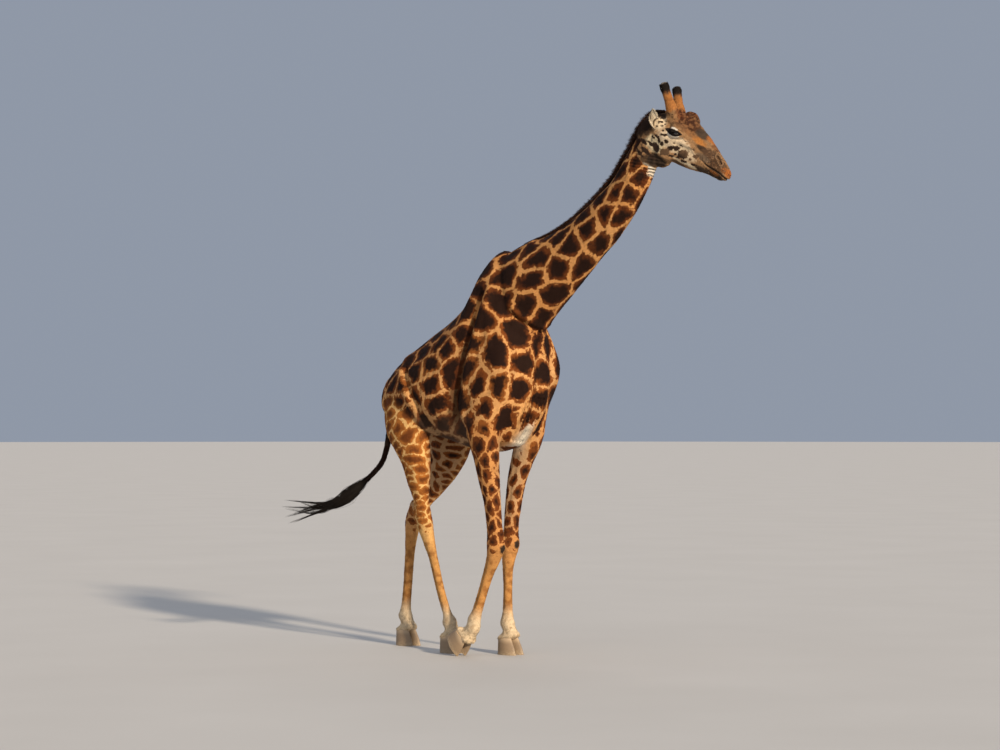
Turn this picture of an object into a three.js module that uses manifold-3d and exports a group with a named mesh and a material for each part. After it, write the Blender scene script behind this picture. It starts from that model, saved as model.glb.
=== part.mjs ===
// A still, life-size bull Masai giraffe in mid-walk, head turned a little to its left.
// Millimetres, +Z up, +X the way it walks, +Y its left side. The body is laid out with the floor at
// z = 0 and the withers over x = 0, and the whole group is then moved so that its origin is the
// middle of its bounding box, at floor level.

import * as THREE from 'three';
import { mergeVertices } from 'three/addons/utils/BufferGeometryUtils.js';
import Module from 'manifold-3d';

const wasm = await Module();
wasm.setup();

// ---------------------------------------------------------------- driving dimensions

const GAP = 0.4; // the thin cut that parts two neighbouring pieces
const CUT = 1200; // a size larger than any section that a cut goes through
const AXIS_X = new THREE.Vector3(1, 0, 0);
const AXIS_Y = new THREE.Vector3(0, 1, 0);
const AXIS_Z = new THREE.Vector3(0, 0, 1);
const LEFT = 1;
const RIGHT = -1;

// Colours and finishes.
const COAT = { color: 0x9a5a2c, roughness: 0.85, metalness: 0 };
const COAT_PALE = { color: 0xc08a55, roughness: 0.85, metalness: 0 };
const COAT_DARK = { color: 0x3a2216, roughness: 0.9, metalness: 0 };
const HAIR_BLACK = { color: 0x14100e, roughness: 0.8, metalness: 0 };
const EYE_BLACK = { color: 0x0b0807, roughness: 0.08, metalness: 0 };
const HOOF_GREY = { color: 0x2b2623, roughness: 0.55, metalness: 0 };

// Trunk: upright sections from the rump to the breast.
const TRUNK = [
  { x: -1330, top: 2150, bottom: 2000, wide: 55 },
  { x: -1250, top: 2265, bottom: 1925, wide: 165 },
  { x: -1090, top: 2405, bottom: 1872, wide: 275 },
  { x: -880, top: 2530, bottom: 1820, wide: 335 },
  { x: -660, top: 2645, bottom: 1785, wide: 380 },
  { x: -440, top: 2760, bottom: 1720, wide: 402 },
  { x: -240, top: 2920, bottom: 1668, wide: 398 },
  { x: -105, top: 3160, bottom: 1645, wide: 368 },
  { x: 30, top: 3268, bottom: 1645, wide: 334 },
  { x: 210, top: 3190, bottom: 1690, wide: 292 },
  { x: 330, top: 2960, bottom: 1830, wide: 235 },
  { x: 405, top: 2720, bottom: 2030, wide: 145 },
  { x: 435, top: 2620, bottom: 2220, wide: 60 },
];
const TRUNK_LOW_BELLY = 0.22; // how much wider the barrel is low down than high up

// Neck: centre line, half-depth in its own plane, half-width.
const NECK = [
  { at: [110, 0, 2790], deep: 380, wide: 220 },
  { at: [345, 2, 2955], deep: 346, wide: 200 },
  { at: [603, 10, 3100], deep: 282, wide: 165 },
  { at: [790, 16, 3209], deep: 237, wide: 143 },
  { at: [936, 20, 3310], deep: 212, wide: 130 },
  { at: [1152, 30, 3475], deep: 194, wide: 118 },
  { at: [1350, 40, 3669], deep: 168, wide: 106 },
  { at: [1480, 56, 3872], deep: 152, wide: 100 },
  { at: [1598, 84, 4082], deep: 132, wide: 92 },
];
const MANE_HEIGHT = 46; // hair tips above the neck's own top line
const MANE_ROOT = 30; // how deep the crest is set into the neck
const MANE_HALF_WIDTH = 15;
const MANE_POLL = [[-20, 0, 128], [30, 0, 182]]; // its last stretch between the ears, in head coordinates

// Head: its own frame, x from the poll to the nose, z up from the jaw to the brow.
const HEAD_AT = [1520, 50, 4130];
const HEAD_YAW = 20; // degrees to its left
const HEAD_PITCH = 34; // degrees nose down
const SKULL = [
  { x: -25, top: 120, bottom: -70, wide: 66 },
  { x: 30, top: 178, bottom: -95, wide: 92 },
  { x: 105, top: 228, bottom: -102, wide: 104 },
  { x: 185, top: 272, bottom: -98, wide: 108 },
  { x: 260, top: 296, bottom: -90, wide: 106 },
  { x: 335, top: 290, bottom: -80, wide: 95 },
  { x: 415, top: 264, bottom: -70, wide: 80 },
  { x: 500, top: 240, bottom: -52, wide: 69 },
  { x: 575, top: 207, bottom: -28, wide: 60 },
  { x: 645, top: 177, bottom: -4, wide: 55 },
  { x: 705, top: 152, bottom: -2, wide: 54 },
  { x: 755, top: 126, bottom: 8, wide: 50 },
  { x: 784, top: 103, bottom: 28, wide: 39 },
  { x: 799, top: 84, bottom: 46, wide: 22 },
];
const SKULL_LOW_JAW = 0.06; // how much wider the head is at the jaw than at the brow
const HEAD_MIDDLE = [
  { name: 'boss between the brows', at: [290, 0, 284], half: [70, 40, 44], turn: 12 },
  { name: 'upper lip', at: [744, 0, 78], half: [56, 50, 40], turn: 22 },
  { name: 'lower lip', at: [704, 0, 30], half: [64, 42, 30], turn: 10 },
  { name: 'throat', at: [246, 0, -96], half: [84, 62, 74], turn: 0 },
];
const HEAD_PAIRED = [
  { name: 'brow and eye socket', at: [272, 78, 160], half: [80, 56, 52], turn: 8 },
  { name: 'cheek bone', at: [215, 66, 58], half: [150, 46, 62], turn: 8 },
  { name: 'jaw muscle', at: [235, 54, -18], half: [140, 42, 82], turn: 0 },
  { name: 'root of the ear', at: [104, 78, 104], half: [62, 40, 62], turn: 0 },
  { name: 'foot of the ossicone', at: [154, 64, 230], half: [66, 52, 52], turn: 0 },
];
const EYE = { at: [286, 116, 133], radius: 27 };
const OSSICONE = { foot: [158, 74, 246], tip: [-6, 140, 397], base: 54, waist: 35, knob: 38 };
const EAR = { root: [112, 92, 82], tip: [42, 192, 196], wide: 46, cup: 27, shell: 7, out: 35 };

// Limbs: centre line from inside the body down to the fetlock, half-depth fore and aft, half-width.
const FORELEG_RIGHT = [
  { at: [-20, -120, 2960], deep: 120, wide: 50 },
  { at: [75, -190, 2700], deep: 215, wide: 95 },
  { at: [145, -245, 2330], deep: 255, wide: 125 },
  { at: [100, -260, 2010], deep: 200, wide: 118 },
  { at: [78, -258, 1770], deep: 158, wide: 112 },
  { at: [98, -250, 1600], deep: 121, wide: 97 },
  { at: [116, -238, 1424], deep: 100, wide: 85 },
  { at: [138, -227, 1264], deep: 82, wide: 71 },
  { at: [152, -214, 1050], deep: 76, wide: 64 },
  { at: [162, -206, 900], deep: 86, wide: 75 },
  { at: [130, -207, 785], deep: 66, wide: 60 },
  { at: [85, -212, 680], deep: 53, wide: 47 },
  { at: [27, -220, 524], deep: 48, wide: 43 },
  { at: [-22, -232, 378], deep: 50, wide: 45 },
  { at: [-58, -240, 285], deep: 68, wide: 58 },
];
const FORELEG_LEFT = [
  { at: [-30, 120, 2960], deep: 120, wide: 50 },
  { at: [60, 190, 2700], deep: 215, wide: 95 },
  { at: [140, 250, 2330], deep: 258, wide: 125 },
  { at: [112, 256, 2010], deep: 172, wide: 110 },
  { at: [90, 242, 1760], deep: 135, wide: 102 },
  { at: [26, 230, 1581], deep: 106, wide: 86 },
  { at: [-18, 218, 1440], deep: 90, wide: 76 },
  { at: [-42, 200, 1253], deep: 79, wide: 68 },
  { at: [-46, 176, 1040], deep: 73, wide: 62 },
  { at: [-42, 162, 892], deep: 83, wide: 73 },
  { at: [-54, 155, 775], deep: 64, wide: 58 },
  { at: [-57, 150, 680], deep: 52, wide: 46 },
  { at: [-50, 141, 521], deep: 47, wide: 42 },
  { at: [-46, 136, 370], deep: 49, wide: 44 },
  { at: [-46, 132, 270], deep: 67, wide: 58 },
];
const HINDLEG_RIGHT = [
  { at: [-930, -130, 2290], deep: 120, wide: 70 },
  { at: [-925, -190, 2130], deep: 214, wide: 114 },
  { at: [-855, -238, 1900], deep: 236, wide: 139 },
  { at: [-772, -258, 1730], deep: 193, wide: 128 },
  { at: [-724, -255, 1571], deep: 146, wide: 110 },
  { at: [-704, -240, 1375], deep: 112, wide: 84 },
  { at: [-695, -222, 1240], deep: 82, wide: 62 },
  { at: [-684, -202, 1085], deep: 92, wide: 61 },
  { at: [-655, -182, 940], deep: 68, wide: 52 },
  { at: [-618, -160, 780], deep: 48, wide: 41 },
  { at: [-566, -128, 520], deep: 45, wide: 38 },
  { at: [-516, -102, 330], deep: 46, wide: 40 },
  { at: [-494, -92, 262], deep: 58, wide: 50 },
];
const HINDLEG_LEFT = [
  { at: [-960, 130, 2290], deep: 120, wide: 70 },
  { at: [-940, 190, 2130], deep: 226, wide: 116 },
  { at: [-895, 240, 1900], deep: 260, wide: 142 },
  { at: [-858, 256, 1720], deep: 240, wide: 130 },
  { at: [-905, 250, 1540], deep: 170, wide: 109 },
  { at: [-1010, 240, 1370], deep: 108, wide: 82 },
  { at: [-1140, 222, 1220], deep: 82, wide: 62 },
  { at: [-1232, 202, 1080], deep: 94, wide: 62 },
  { at: [-1252, 186, 930], deep: 68, wide: 53 },
  { at: [-1258, 174, 775], deep: 52, wide: 44 },
  { at: [-1272, 162, 500], deep: 49, wide: 42 },
  { at: [-1284, 156, 350], deep: 51, wide: 44 },
  { at: [-1290, 152, 268], deep: 64, wide: 55 },
];

// Where the flesh is parted.
const LEG_TOP_CUT = 1628; // height of the cut between each leg and the trunk
const LEG_CUT_SIZE = 600;
const NECK_CUT = { at: [430, 0, 3010], normal: [0.92, 0, 0.38] };
const HEAD_CUT = { at: [130, 0, -28], normal: [0.571, 0, 0.821], size: 600 }; // in head coordinates
const TAIL_CUT = { at: [-1352, 26, 1935], normal: [0.2, 0, 0.98], size: 120 };
const TASSEL_CUT_NORMAL = [0.6, 0.46, 0.66]; // back up the dock from its end

// Feet: one frame per foot at the fetlock, x towards the toes, z up the leg when the foot stands.
const PASTERN_LENGTH = 128;
const PASTERN_LEAN = 27; // degrees forward of straight down
const CORONET_LEAN = 14; // degrees that the top of the hoof falls towards the heel
const CLAW_LENGTH = 198;
const CLAW_HEEL = 0.3; // share of the sole that lies behind the fetlock
const CLAW_WIDTH = 84;
const CLAW_CLEFT = 7;
const STANDING_FETLOCK = 256; // height of a standing fetlock's centre
const TOE_OFF_ANGLE = 58; // how far the right forefoot has rolled back on to its toe
const TOE_FLAT = 4; // how much of that toe's tip is worn flat

// Tail: the dock hangs and swings back to the right, and the tassel streams out behind it.
const TAIL = [
  { at: [-1200, 0, 2190], deep: 75, wide: 62 },
  { at: [-1300, 8, 2110], deep: 58, wide: 50 },
  { at: [-1352, 26, 1960], deep: 36, wide: 34 },
  { at: [-1350, 16, 1790], deep: 31, wide: 30 },
  { at: [-1379, -34, 1560], deep: 28, wide: 27 },
  { at: [-1458, -115, 1425], deep: 27, wide: 26 },
  { at: [-1540, -180, 1330], deep: 26, wide: 25 },
];
const TASSEL_ROOT = [-1540, -180, 1330];
const TASSEL_BELLY = [-1650, -285, 1200];
const TASSEL_LOCKS = [
  { tip: [-2085, -575, 1245], thick: 22 },
  { tip: [-2115, -545, 1180], thick: 26 },
  { tip: [-2095, -590, 1100], thick: 30 },
  { tip: [-2025, -585, 1020], thick: 22 },
  { tip: [-1910, -445, 1050], thick: 24 },
];

// ---------------------------------------------------------------- shapes

const vector = (at) => new THREE.Vector3(...at);

/** A point given for the left side, on the given side. */
const sided = ([x, y, z], side) => new THREE.Vector3(x, side * y, z);

/** A closed triangle mesh from points and faces, turned so that its faces point outwards. */
function closedMesh(points, faces) {
  const geometry = new THREE.BufferGeometry().setFromPoints(points);
  let volume = 0;
  for (const [a, b, c] of faces) {
    volume += points[a].dot(new THREE.Vector3().crossVectors(points[b], points[c]));
  }
  geometry.setIndex((volume > 0 ? faces : faces.map(([a, b, c]) => [a, c, b])).flat());
  return geometry;
}

/** A skin over rings of equal length, closed by a fan at both ends. */
function skinRings(rings) {
  const sides = rings[0].length;
  const points = rings.flat();
  const faces = [];
  for (let r = 0; r + 1 < rings.length; r += 1) {
    for (let s = 0; s < sides; s += 1) {
      const a = r * sides + s;
      const b = r * sides + ((s + 1) % sides);
      faces.push([a, b, b + sides], [a, b + sides, a + sides]);
    }
  }
  for (const [ring, flip] of [[0, true], [rings.length - 1, false]]) {
    const middle = points.length;
    const centre = new THREE.Vector3();
    rings[ring].forEach((point) => centre.addScaledVector(point, 1 / sides));
    points.push(centre);
    for (let s = 0; s < sides; s += 1) {
      const a = ring * sides + s;
      const b = ring * sides + ((s + 1) % sides);
      faces.push(flip ? [middle, b, a] : [middle, a, b]);
    }
  }
  return closedMesh(points, faces);
}

/**
 * A body of elliptical sections along a smooth line through the stations.
 * across is the direction of each section's width; where deepAxis is given the sections stay
 * upright along it, and elsewhere they stand square to the line. low widens the far side of each
 * section, and grow makes every section larger by that much.
 */
function loft(stations, { sides = 14, steps = 2, across = AXIS_Y, deepAxis, low = 0, grow = 0 } = {}) {
  const line = new THREE.CatmullRomCurve3(stations.map(({ at }) => vector(at)));
  const sizes = new THREE.CatmullRomCurve3(
    stations.map(({ deep, wide }) => new THREE.Vector3(deep, wide, 0)),
  );
  const count = (stations.length - 1) * steps;
  const rings = [];
  for (let i = 0; i <= count; i += 1) {
    const centre = line.getPoint(i / count);
    const size = sizes.getPoint(i / count);
    const along = line.getTangent(i / count);
    if (i === 0) centre.addScaledVector(along, -grow);
    if (i === count) centre.addScaledVector(along, grow);
    const width = across.clone();
    if (!deepAxis) width.addScaledVector(along, -across.dot(along)).normalize();
    const depth = deepAxis ?? new THREE.Vector3().crossVectors(along, width);
    rings.push(Array.from({ length: sides }, (_, s) => {
      const angle = (s / sides) * 2 * Math.PI;
      const swell = 1 - low * Math.sin(angle);
      return centre.clone()
        .addScaledVector(width, (size.y + grow) * swell * Math.cos(angle))
        .addScaledVector(depth, (size.x + grow) * Math.sin(angle));
    }));
  }
  return skinRings(rings);
}

/** Upright sections {x, top, bottom, wide} as the stations of a loft. */
const upright = (sections) => sections.map(({ x, top, bottom, wide }) => (
  { at: [x, 0, (top + bottom) / 2], deep: (top - bottom) / 2, wide }
));

/** An egg of the given half sizes, for a muscle or a rounded bone under the skin. */
function bulge(at, half, turnY = 0, grow = 0) {
  const egg = new THREE.SphereGeometry(1, 9, 6);
  egg.scale(...half.map((size) => size + grow));
  egg.rotateY(THREE.MathUtils.degToRad(turnY));
  return egg.translate(at.x, at.y, at.z);
}

/** A flat thin box, square to a direction, that parts a body in two. */
function slab(at, normal, across = CUT, thickness = GAP) {
  const box = new THREE.BoxGeometry(thickness, across, across);
  box.applyQuaternion(new THREE.Quaternion().setFromUnitVectors(AXIS_X, normal.clone().normalize()));
  return box.translate(at.x, at.y, at.z);
}

// ---------------------------------------------------------------- solids

/** A three.js geometry as a manifold solid. */
function solid(geometry) {
  const bare = geometry.clone();
  bare.deleteAttribute('normal');
  bare.deleteAttribute('uv');
  const merged = mergeVertices(bare, 1e-3);
  return new wasm.Manifold(new wasm.Mesh({
    numProp: 3,
    vertProperties: Float32Array.from(merged.attributes.position.array),
    triVerts: Uint32Array.from(merged.index.array),
  }));
}

const join = (geometries) => geometries.map(solid).reduce((all, one) => all.add(one));
const cut = (body, geometries) => geometries.reduce((rest, tool) => rest.subtract(solid(tool)), body);

/** The largest of a solid's separate pieces. */
const largest = (body) => (
  body.decompose().reduce((best, one) => (one.volume() > best.volume() ? one : best))
);

/** The manifold solid as a named mesh. */
function part(name, body, finish) {
  const { vertProperties, triVerts } = body.getMesh();
  const geometry = new THREE.BufferGeometry();
  geometry.setAttribute('position', new THREE.BufferAttribute(Float32Array.from(vertProperties), 3));
  geometry.setIndex(Array.from(triVerts));
  geometry.computeVertexNormals();
  const mesh = new THREE.Mesh(geometry, new THREE.MeshStandardMaterial(finish));
  mesh.name = name;
  return mesh;
}

// ---------------------------------------------------------------- head

const HEAD_FRAME = new THREE.Matrix4().compose(
  vector(HEAD_AT),
  new THREE.Quaternion().setFromEuler(new THREE.Euler(
    0,
    THREE.MathUtils.degToRad(HEAD_PITCH),
    THREE.MathUtils.degToRad(HEAD_YAW),
    'ZYX',
  )),
  new THREE.Vector3(1, 1, 1),
);
const inHead = (geometry) => geometry.applyMatrix4(HEAD_FRAME);
const headPoint = (at) => vector(at).applyMatrix4(HEAD_FRAME);

/** The skull with its jaw, brows, cheeks and lips. */
function headShapes(grow = 0) {
  const shapes = [
    loft(upright(SKULL), { sides: 16, steps: 1, deepAxis: AXIS_Z, low: SKULL_LOW_JAW, grow }),
    ...HEAD_MIDDLE.map(({ at, half, turn }) => bulge(sided(at, LEFT), half, turn, grow)),
    ...[LEFT, RIGHT].flatMap((side) => (
      HEAD_PAIRED.map(({ at, half, turn }) => bulge(sided(at, side), half, turn, grow))
    )),
  ];
  return shapes.map(inHead);
}

function eyeShape(side, grow = 0) {
  const ball = new THREE.SphereGeometry(EYE.radius + grow, 10, 7);
  return inHead(ball.translate(EYE.at[0], side * EYE.at[1], EYE.at[2]));
}

/** A horn core under skin: a tapered post with a slightly swollen, rounded tip. */
function ossiconeShape(side) {
  const foot = sided(OSSICONE.foot, side);
  const axis = sided(OSSICONE.tip, side).sub(foot);
  const length = axis.length();
  const { base, waist, knob } = OSSICONE;
  const profile = new THREE.SplineCurve([
    new THREE.Vector2(base, -0.08 * length),
    new THREE.Vector2(base * 0.86, length * 0.12),
    new THREE.Vector2(waist, length * 0.5),
    new THREE.Vector2(waist * 1.03, length * 0.78),
    new THREE.Vector2(knob, length * 0.93),
    new THREE.Vector2(knob * 0.72, length * 1.03),
  ]).getPoints(6);
  const bottom = new THREE.Vector2(0, profile[0].y);
  const top = new THREE.Vector2(0, profile.at(-1).y + knob * 0.2);
  const post = new THREE.LatheGeometry([bottom, ...profile, top], 10);
  post.applyQuaternion(new THREE.Quaternion().setFromUnitVectors(AXIS_Y, axis.normalize()));
  return inHead(post.translate(foot.x, foot.y, foot.z));
}

/** A leaf-shaped cup, open forwards and outwards, from its tubular root to its tip. */
function earShape(side) {
  const root = sided(EAR.root, side);
  const axis = sided(EAR.tip, side).sub(root);
  const length = axis.length();
  const up = axis.clone().normalize();
  const out = THREE.MathUtils.degToRad(EAR.out);
  const open = new THREE.Vector3(Math.cos(out), side * Math.sin(out), 0);
  open.addScaledVector(up, -open.dot(up)).normalize();
  const edge = new THREE.Vector3().crossVectors(up, open);
  const rings = [];
  const levels = 7;
  const arc = 4;
  for (let i = 0; i <= levels; i += 1) {
    const t = i / levels;
    const leaf = Math.sin(Math.PI * (0.2 + 0.8 * t) ** 1.15) ** 0.8;
    const wide = Math.max(EAR.wide * leaf, EAR.shell * 0.7);
    const cup = Math.max(EAR.cup * leaf, EAR.shell * 0.5);
    const shell = EAR.shell * (1 - 0.45 * t);
    const centre = root.clone().addScaledVector(up, length * t)
      .addScaledVector(open, -EAR.cup * 0.5 * Math.sin(Math.PI * t));
    const place = (across, back) => centre.clone()
      .addScaledVector(edge, across).addScaledVector(open, -back);
    const outside = [];
    const inside = [];
    for (let k = 0; k <= arc; k += 1) {
      const angle = Math.PI * (k / arc - 0.5);
      outside.push(place(wide * Math.sin(angle), cup * Math.cos(angle)));
      inside.unshift(place(
        (wide - shell * 0.5) * Math.sin(angle),
        (cup * Math.cos(angle)) - shell,
      ));
    }
    rings.push([...outside, ...inside]);
  }
  return inHead(skinRings(rings));
}

// ---------------------------------------------------------------- neck, mane, tail

/** The crest of hair along the neck's top line, from the withers to between the ears. */
function maneShape() {
  const middle = (MANE_HEIGHT + MANE_ROOT) / 2;
  const line = NECK.slice(1).map(({ at }) => vector(at));
  const along = line.map((here, i) => (line[i + 1] ?? here).clone().sub(line[i - 1] ?? here));
  const onNeck = line.map((here, i) => {
    const dorsal = new THREE.Vector3().crossVectors(along[i], AXIS_Y).normalize();
    const proud = i === 0 ? 0 : MANE_HEIGHT;
    return here.clone().addScaledVector(dorsal, NECK[i + 1].deep + proud - middle);
  });
  const onHead = MANE_POLL.map((at) => headPoint(at));
  const stations = [...onNeck, ...onHead].map((at) => (
    { at: at.toArray(), deep: middle, wide: MANE_HALF_WIDTH }
  ));
  return loft(stations, { sides: 6, steps: 1 });
}

/** One lock of the tassel, from the end of the dock to a fine tip. */
function lockShape({ tip, thick }) {
  const root = vector(TASSEL_ROOT);
  const end = vector(tip);
  const belly = vector(TASSEL_BELLY).lerp(end, 0.12);
  const before = root.clone().lerp(belly, 0.35).addScaledVector(AXIS_Z, -8);
  const late = belly.clone().lerp(end, 0.55).addScaledVector(AXIS_Z, 6);
  const stations = [
    { at: root, size: 0.75 },
    { at: before, size: 1 },
    { at: belly, size: 1.15 },
    { at: late, size: 0.75 },
    { at: end, size: 0.12 },
  ];
  return loft(
    stations.map(({ at, size }) => ({ at: at.toArray(), deep: thick * size, wide: thick * size })),
    { sides: 6, steps: 1 },
  );
}

// ---------------------------------------------------------------- feet

/** One claw of a standing foot: a wedge with a round toe, a flat sole and a flat inner face. */
function clawShape(side) {
  const heel = -CLAW_LENGTH * CLAW_HEEL;
  const y = side * (CLAW_CLEFT + CLAW_WIDTH) / 2;
  const levels = [
    { z: 0, length: 1, forward: 0, wide: 1 },
    { z: 55, length: 0.9, forward: -9, wide: 0.94 },
    { z: 105, length: 0.77, forward: -22, wide: 0.86 },
    { z: 150, length: 0.66, forward: -36, wide: 0.78 },
  ];
  const sides = 11;
  return skinRings(levels.map(({ z, length, forward, wide }) => (
    Array.from({ length: sides }, (_, s) => {
      const angle = (s / sides) * 2 * Math.PI;
      const reach = Math.cos(angle);
      const narrowing = 1 - 0.32 * Math.max(0, reach) ** 2;
      return new THREE.Vector3(
        heel + (CLAW_LENGTH / 2) * (1 + length * reach) + forward,
        y + (CLAW_WIDTH / 2) * wide * narrowing * Math.sin(angle) - side * (1 - wide) * 22,
        z - STANDING_FETLOCK,
      );
    })
  )));
}

/** A big box on the side of a plane that its normal points to, reaching half a gap past it. */
function halfSpace(at, normal) {
  const far = normal.clone().normalize().multiplyScalar((CUT - GAP) / 2);
  return slab(at.clone().add(far), normal, CUT, CUT);
}

/** A foot placed at the end of its leg: the pastern, both claws and the plane of the coronet. */
function foot({ stations, roll }) {
  const lean = THREE.MathUtils.degToRad(PASTERN_LEAN);
  const tilt = THREE.MathUtils.degToRad(CORONET_LEAN);
  const down = new THREE.Vector3(Math.sin(lean), 0, -Math.cos(lean));
  const along = (share) => down.clone().multiplyScalar(PASTERN_LENGTH * share).toArray();
  const pastern = loft([
    { at: along(-0.3), deep: 50, wide: 44 },
    { at: along(0), deep: 66, wide: 58 },
    { at: along(0.55), deep: 56, wide: 56 },
    { at: along(1), deep: 68, wide: 74 },
    { at: along(1.3), deep: 66, wide: 70 },
  ]);
  const turn = new THREE.Matrix4().makeRotationY(THREE.MathUtils.degToRad(roll));
  const claws = [LEFT, RIGHT].map((side) => clawShape(side).applyMatrix4(turn));
  claws.forEach((claw) => claw.computeBoundingBox());
  const fetlock = vector(stations.at(-1).at);
  fetlock.z = -claws[0].boundingBox.min.z - (roll ? TOE_FLAT : 0);
  const place = turn.clone().setPosition(fetlock);
  const move = new THREE.Matrix4().makeTranslation(fetlock);
  return {
    pastern: pastern.applyMatrix4(place),
    claws: claws.map((claw) => claw.applyMatrix4(move)),
    coronet: new THREE.Vector3(...along(1)).applyMatrix4(place),
    coronetUp: new THREE.Vector3(-Math.sin(tilt), 0, Math.cos(tilt)).transformDirection(turn),
  };
}

/** Both claws of a foot, cut off at the coronet and flat where they meet the floor. */
function hooves(name, { claws, coronet, coronetUp }) {
  const above = halfSpace(coronet, coronetUp);
  const below = halfSpace(new THREE.Vector3(coronet.x, coronet.y, -GAP / 2), AXIS_Z.clone().negate());
  return claws.map((claw, i) => (
    part(`hoof_${name}_${i ? 'right' : 'left'}`, cut(solid(claw), [above, below]), HOOF_GREY)
  ));
}

// ---------------------------------------------------------------- the whole animal

const LEGS = [
  { name: 'foreleg_right', stations: FORELEG_RIGHT, roll: TOE_OFF_ANGLE },
  { name: 'foreleg_left', stations: FORELEG_LEFT, roll: 0 },
  { name: 'hindleg_right', stations: HINDLEG_RIGHT, roll: 0 },
  { name: 'hindleg_left', stations: HINDLEG_LEFT, roll: 0 },
];

const trunkShape = (grow = 0) => (
  loft(upright(TRUNK), { sides: 18, deepAxis: AXIS_Z, low: TRUNK_LOW_BELLY, grow })
);
const neckShape = (grow = 0) => loft(NECK, { sides: 14, grow });

const MUZZLE = [500, 0, 100]; // points inside the pieces that they are found by
const BARREL = [-400, 0, 2300];
const middleOf = (stations) => stations[Math.floor(stations.length / 2)].at;

/** The piece of a divided body whose box is the smallest one round a point. */
function pieceAt(pieces, point) {
  const holds = (piece) => {
    const { min, max } = piece.boundingBox();
    return point.every((value, i) => value > min[i] && value < max[i]);
  };
  const found = pieces.filter(holds);
  return found.reduce((best, piece) => (piece.volume() < best.volume() ? piece : best));
}

const feet = LEGS.map(foot);

// The flesh is one solid, which these cuts part into head, neck, trunk, tail and legs.
const flesh = join([
  trunkShape(),
  neckShape(),
  ...headShapes(),
  loft(TAIL, { sides: 8 }),
  ...LEGS.map(({ stations }) => loft(stations, { sides: 11, steps: 1 })),
  ...feet.map(({ pastern }) => pastern),
]);
const headCut = slab(
  headPoint(HEAD_CUT.at),
  vector(HEAD_CUT.normal).transformDirection(HEAD_FRAME),
  HEAD_CUT.size,
);
const neckCut = slab(vector(NECK_CUT.at), vector(NECK_CUT.normal));
const tailCut = slab(vector(TAIL_CUT.at), vector(TAIL_CUT.normal), TAIL_CUT.size);
const tasselCut = vector(TASSEL_CUT_NORMAL);
const tailEnd = halfSpace(vector(TASSEL_ROOT), tasselCut.clone().negate());
const tailStart = halfSpace(vector(TASSEL_ROOT), tasselCut);
const legCuts = LEGS.map(({ stations }) => {
  const [x, y] = stations.find(({ at }) => at[2] < LEG_TOP_CUT).at;
  return slab(new THREE.Vector3(x, y, LEG_TOP_CUT), AXIS_Z, LEG_CUT_SIZE);
});
const coronetCuts = feet.map(({ coronet, coronetUp }) => halfSpace(coronet, coronetUp.clone().negate()));
const pieces = cut(flesh, [
  headCut,
  neckCut,
  tailCut,
  ...legCuts,
  eyeShape(LEFT, GAP),
  eyeShape(RIGHT, GAP),
]).decompose();

const giraffe = new THREE.Group();
giraffe.add(
  part('head', pieceAt(pieces, headPoint(MUZZLE).toArray()), COAT),
  part('neck', pieceAt(pieces, middleOf(NECK)), COAT),
  part('trunk', pieceAt(pieces, BARREL), COAT),
  part('tail', cut(pieceAt(pieces, TAIL.at(-3).at), [tailEnd]), COAT),
);
LEGS.forEach(({ name, stations }, i) => {
  const leg = pieceAt(pieces, stations.at(-6).at);
  giraffe.add(part(name, cut(leg, [coronetCuts[i]]), COAT_PALE));
  giraffe.add(...hooves(name.replace('leg', ''), feet[i]));
});
for (const [word, side] of [['left', LEFT], ['right', RIGHT]]) {
  const ear = largest(cut(solid(earShape(side)), headShapes(GAP)));
  const ossicone = largest(cut(solid(ossiconeShape(side)), headShapes(GAP)));
  giraffe.add(part(`ear_${word}`, ear, COAT_DARK));
  giraffe.add(part(`ossicone_${word}`, ossicone, COAT_PALE));
  giraffe.add(part(`eye_${word}`, solid(eyeShape(side)), EYE_BLACK));
}
const maneBed = [neckShape(GAP), trunkShape(GAP), ...headShapes(GAP)];
giraffe.add(
  part('mane', largest(cut(solid(maneShape()), maneBed)), COAT_DARK),
  part('tail_tassel', cut(join(TASSEL_LOCKS.map(lockShape)), [tailStart]), HAIR_BLACK),
);

const box = new THREE.Box3().setFromObject(giraffe);
giraffe.position.set(-(box.min.x + box.max.x) / 2, -(box.min.y + box.max.y) / 2, -box.min.z);

export default giraffe;
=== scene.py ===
"""A still, life-size bull Masai giraffe in mid-walk: one skin with its short coat, mane, tail tassel,
eyes, ossicones and hooves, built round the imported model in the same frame, in metres."""
import math

import bmesh
import bpy
import numpy as np
from mathutils import Matrix, Vector


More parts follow.
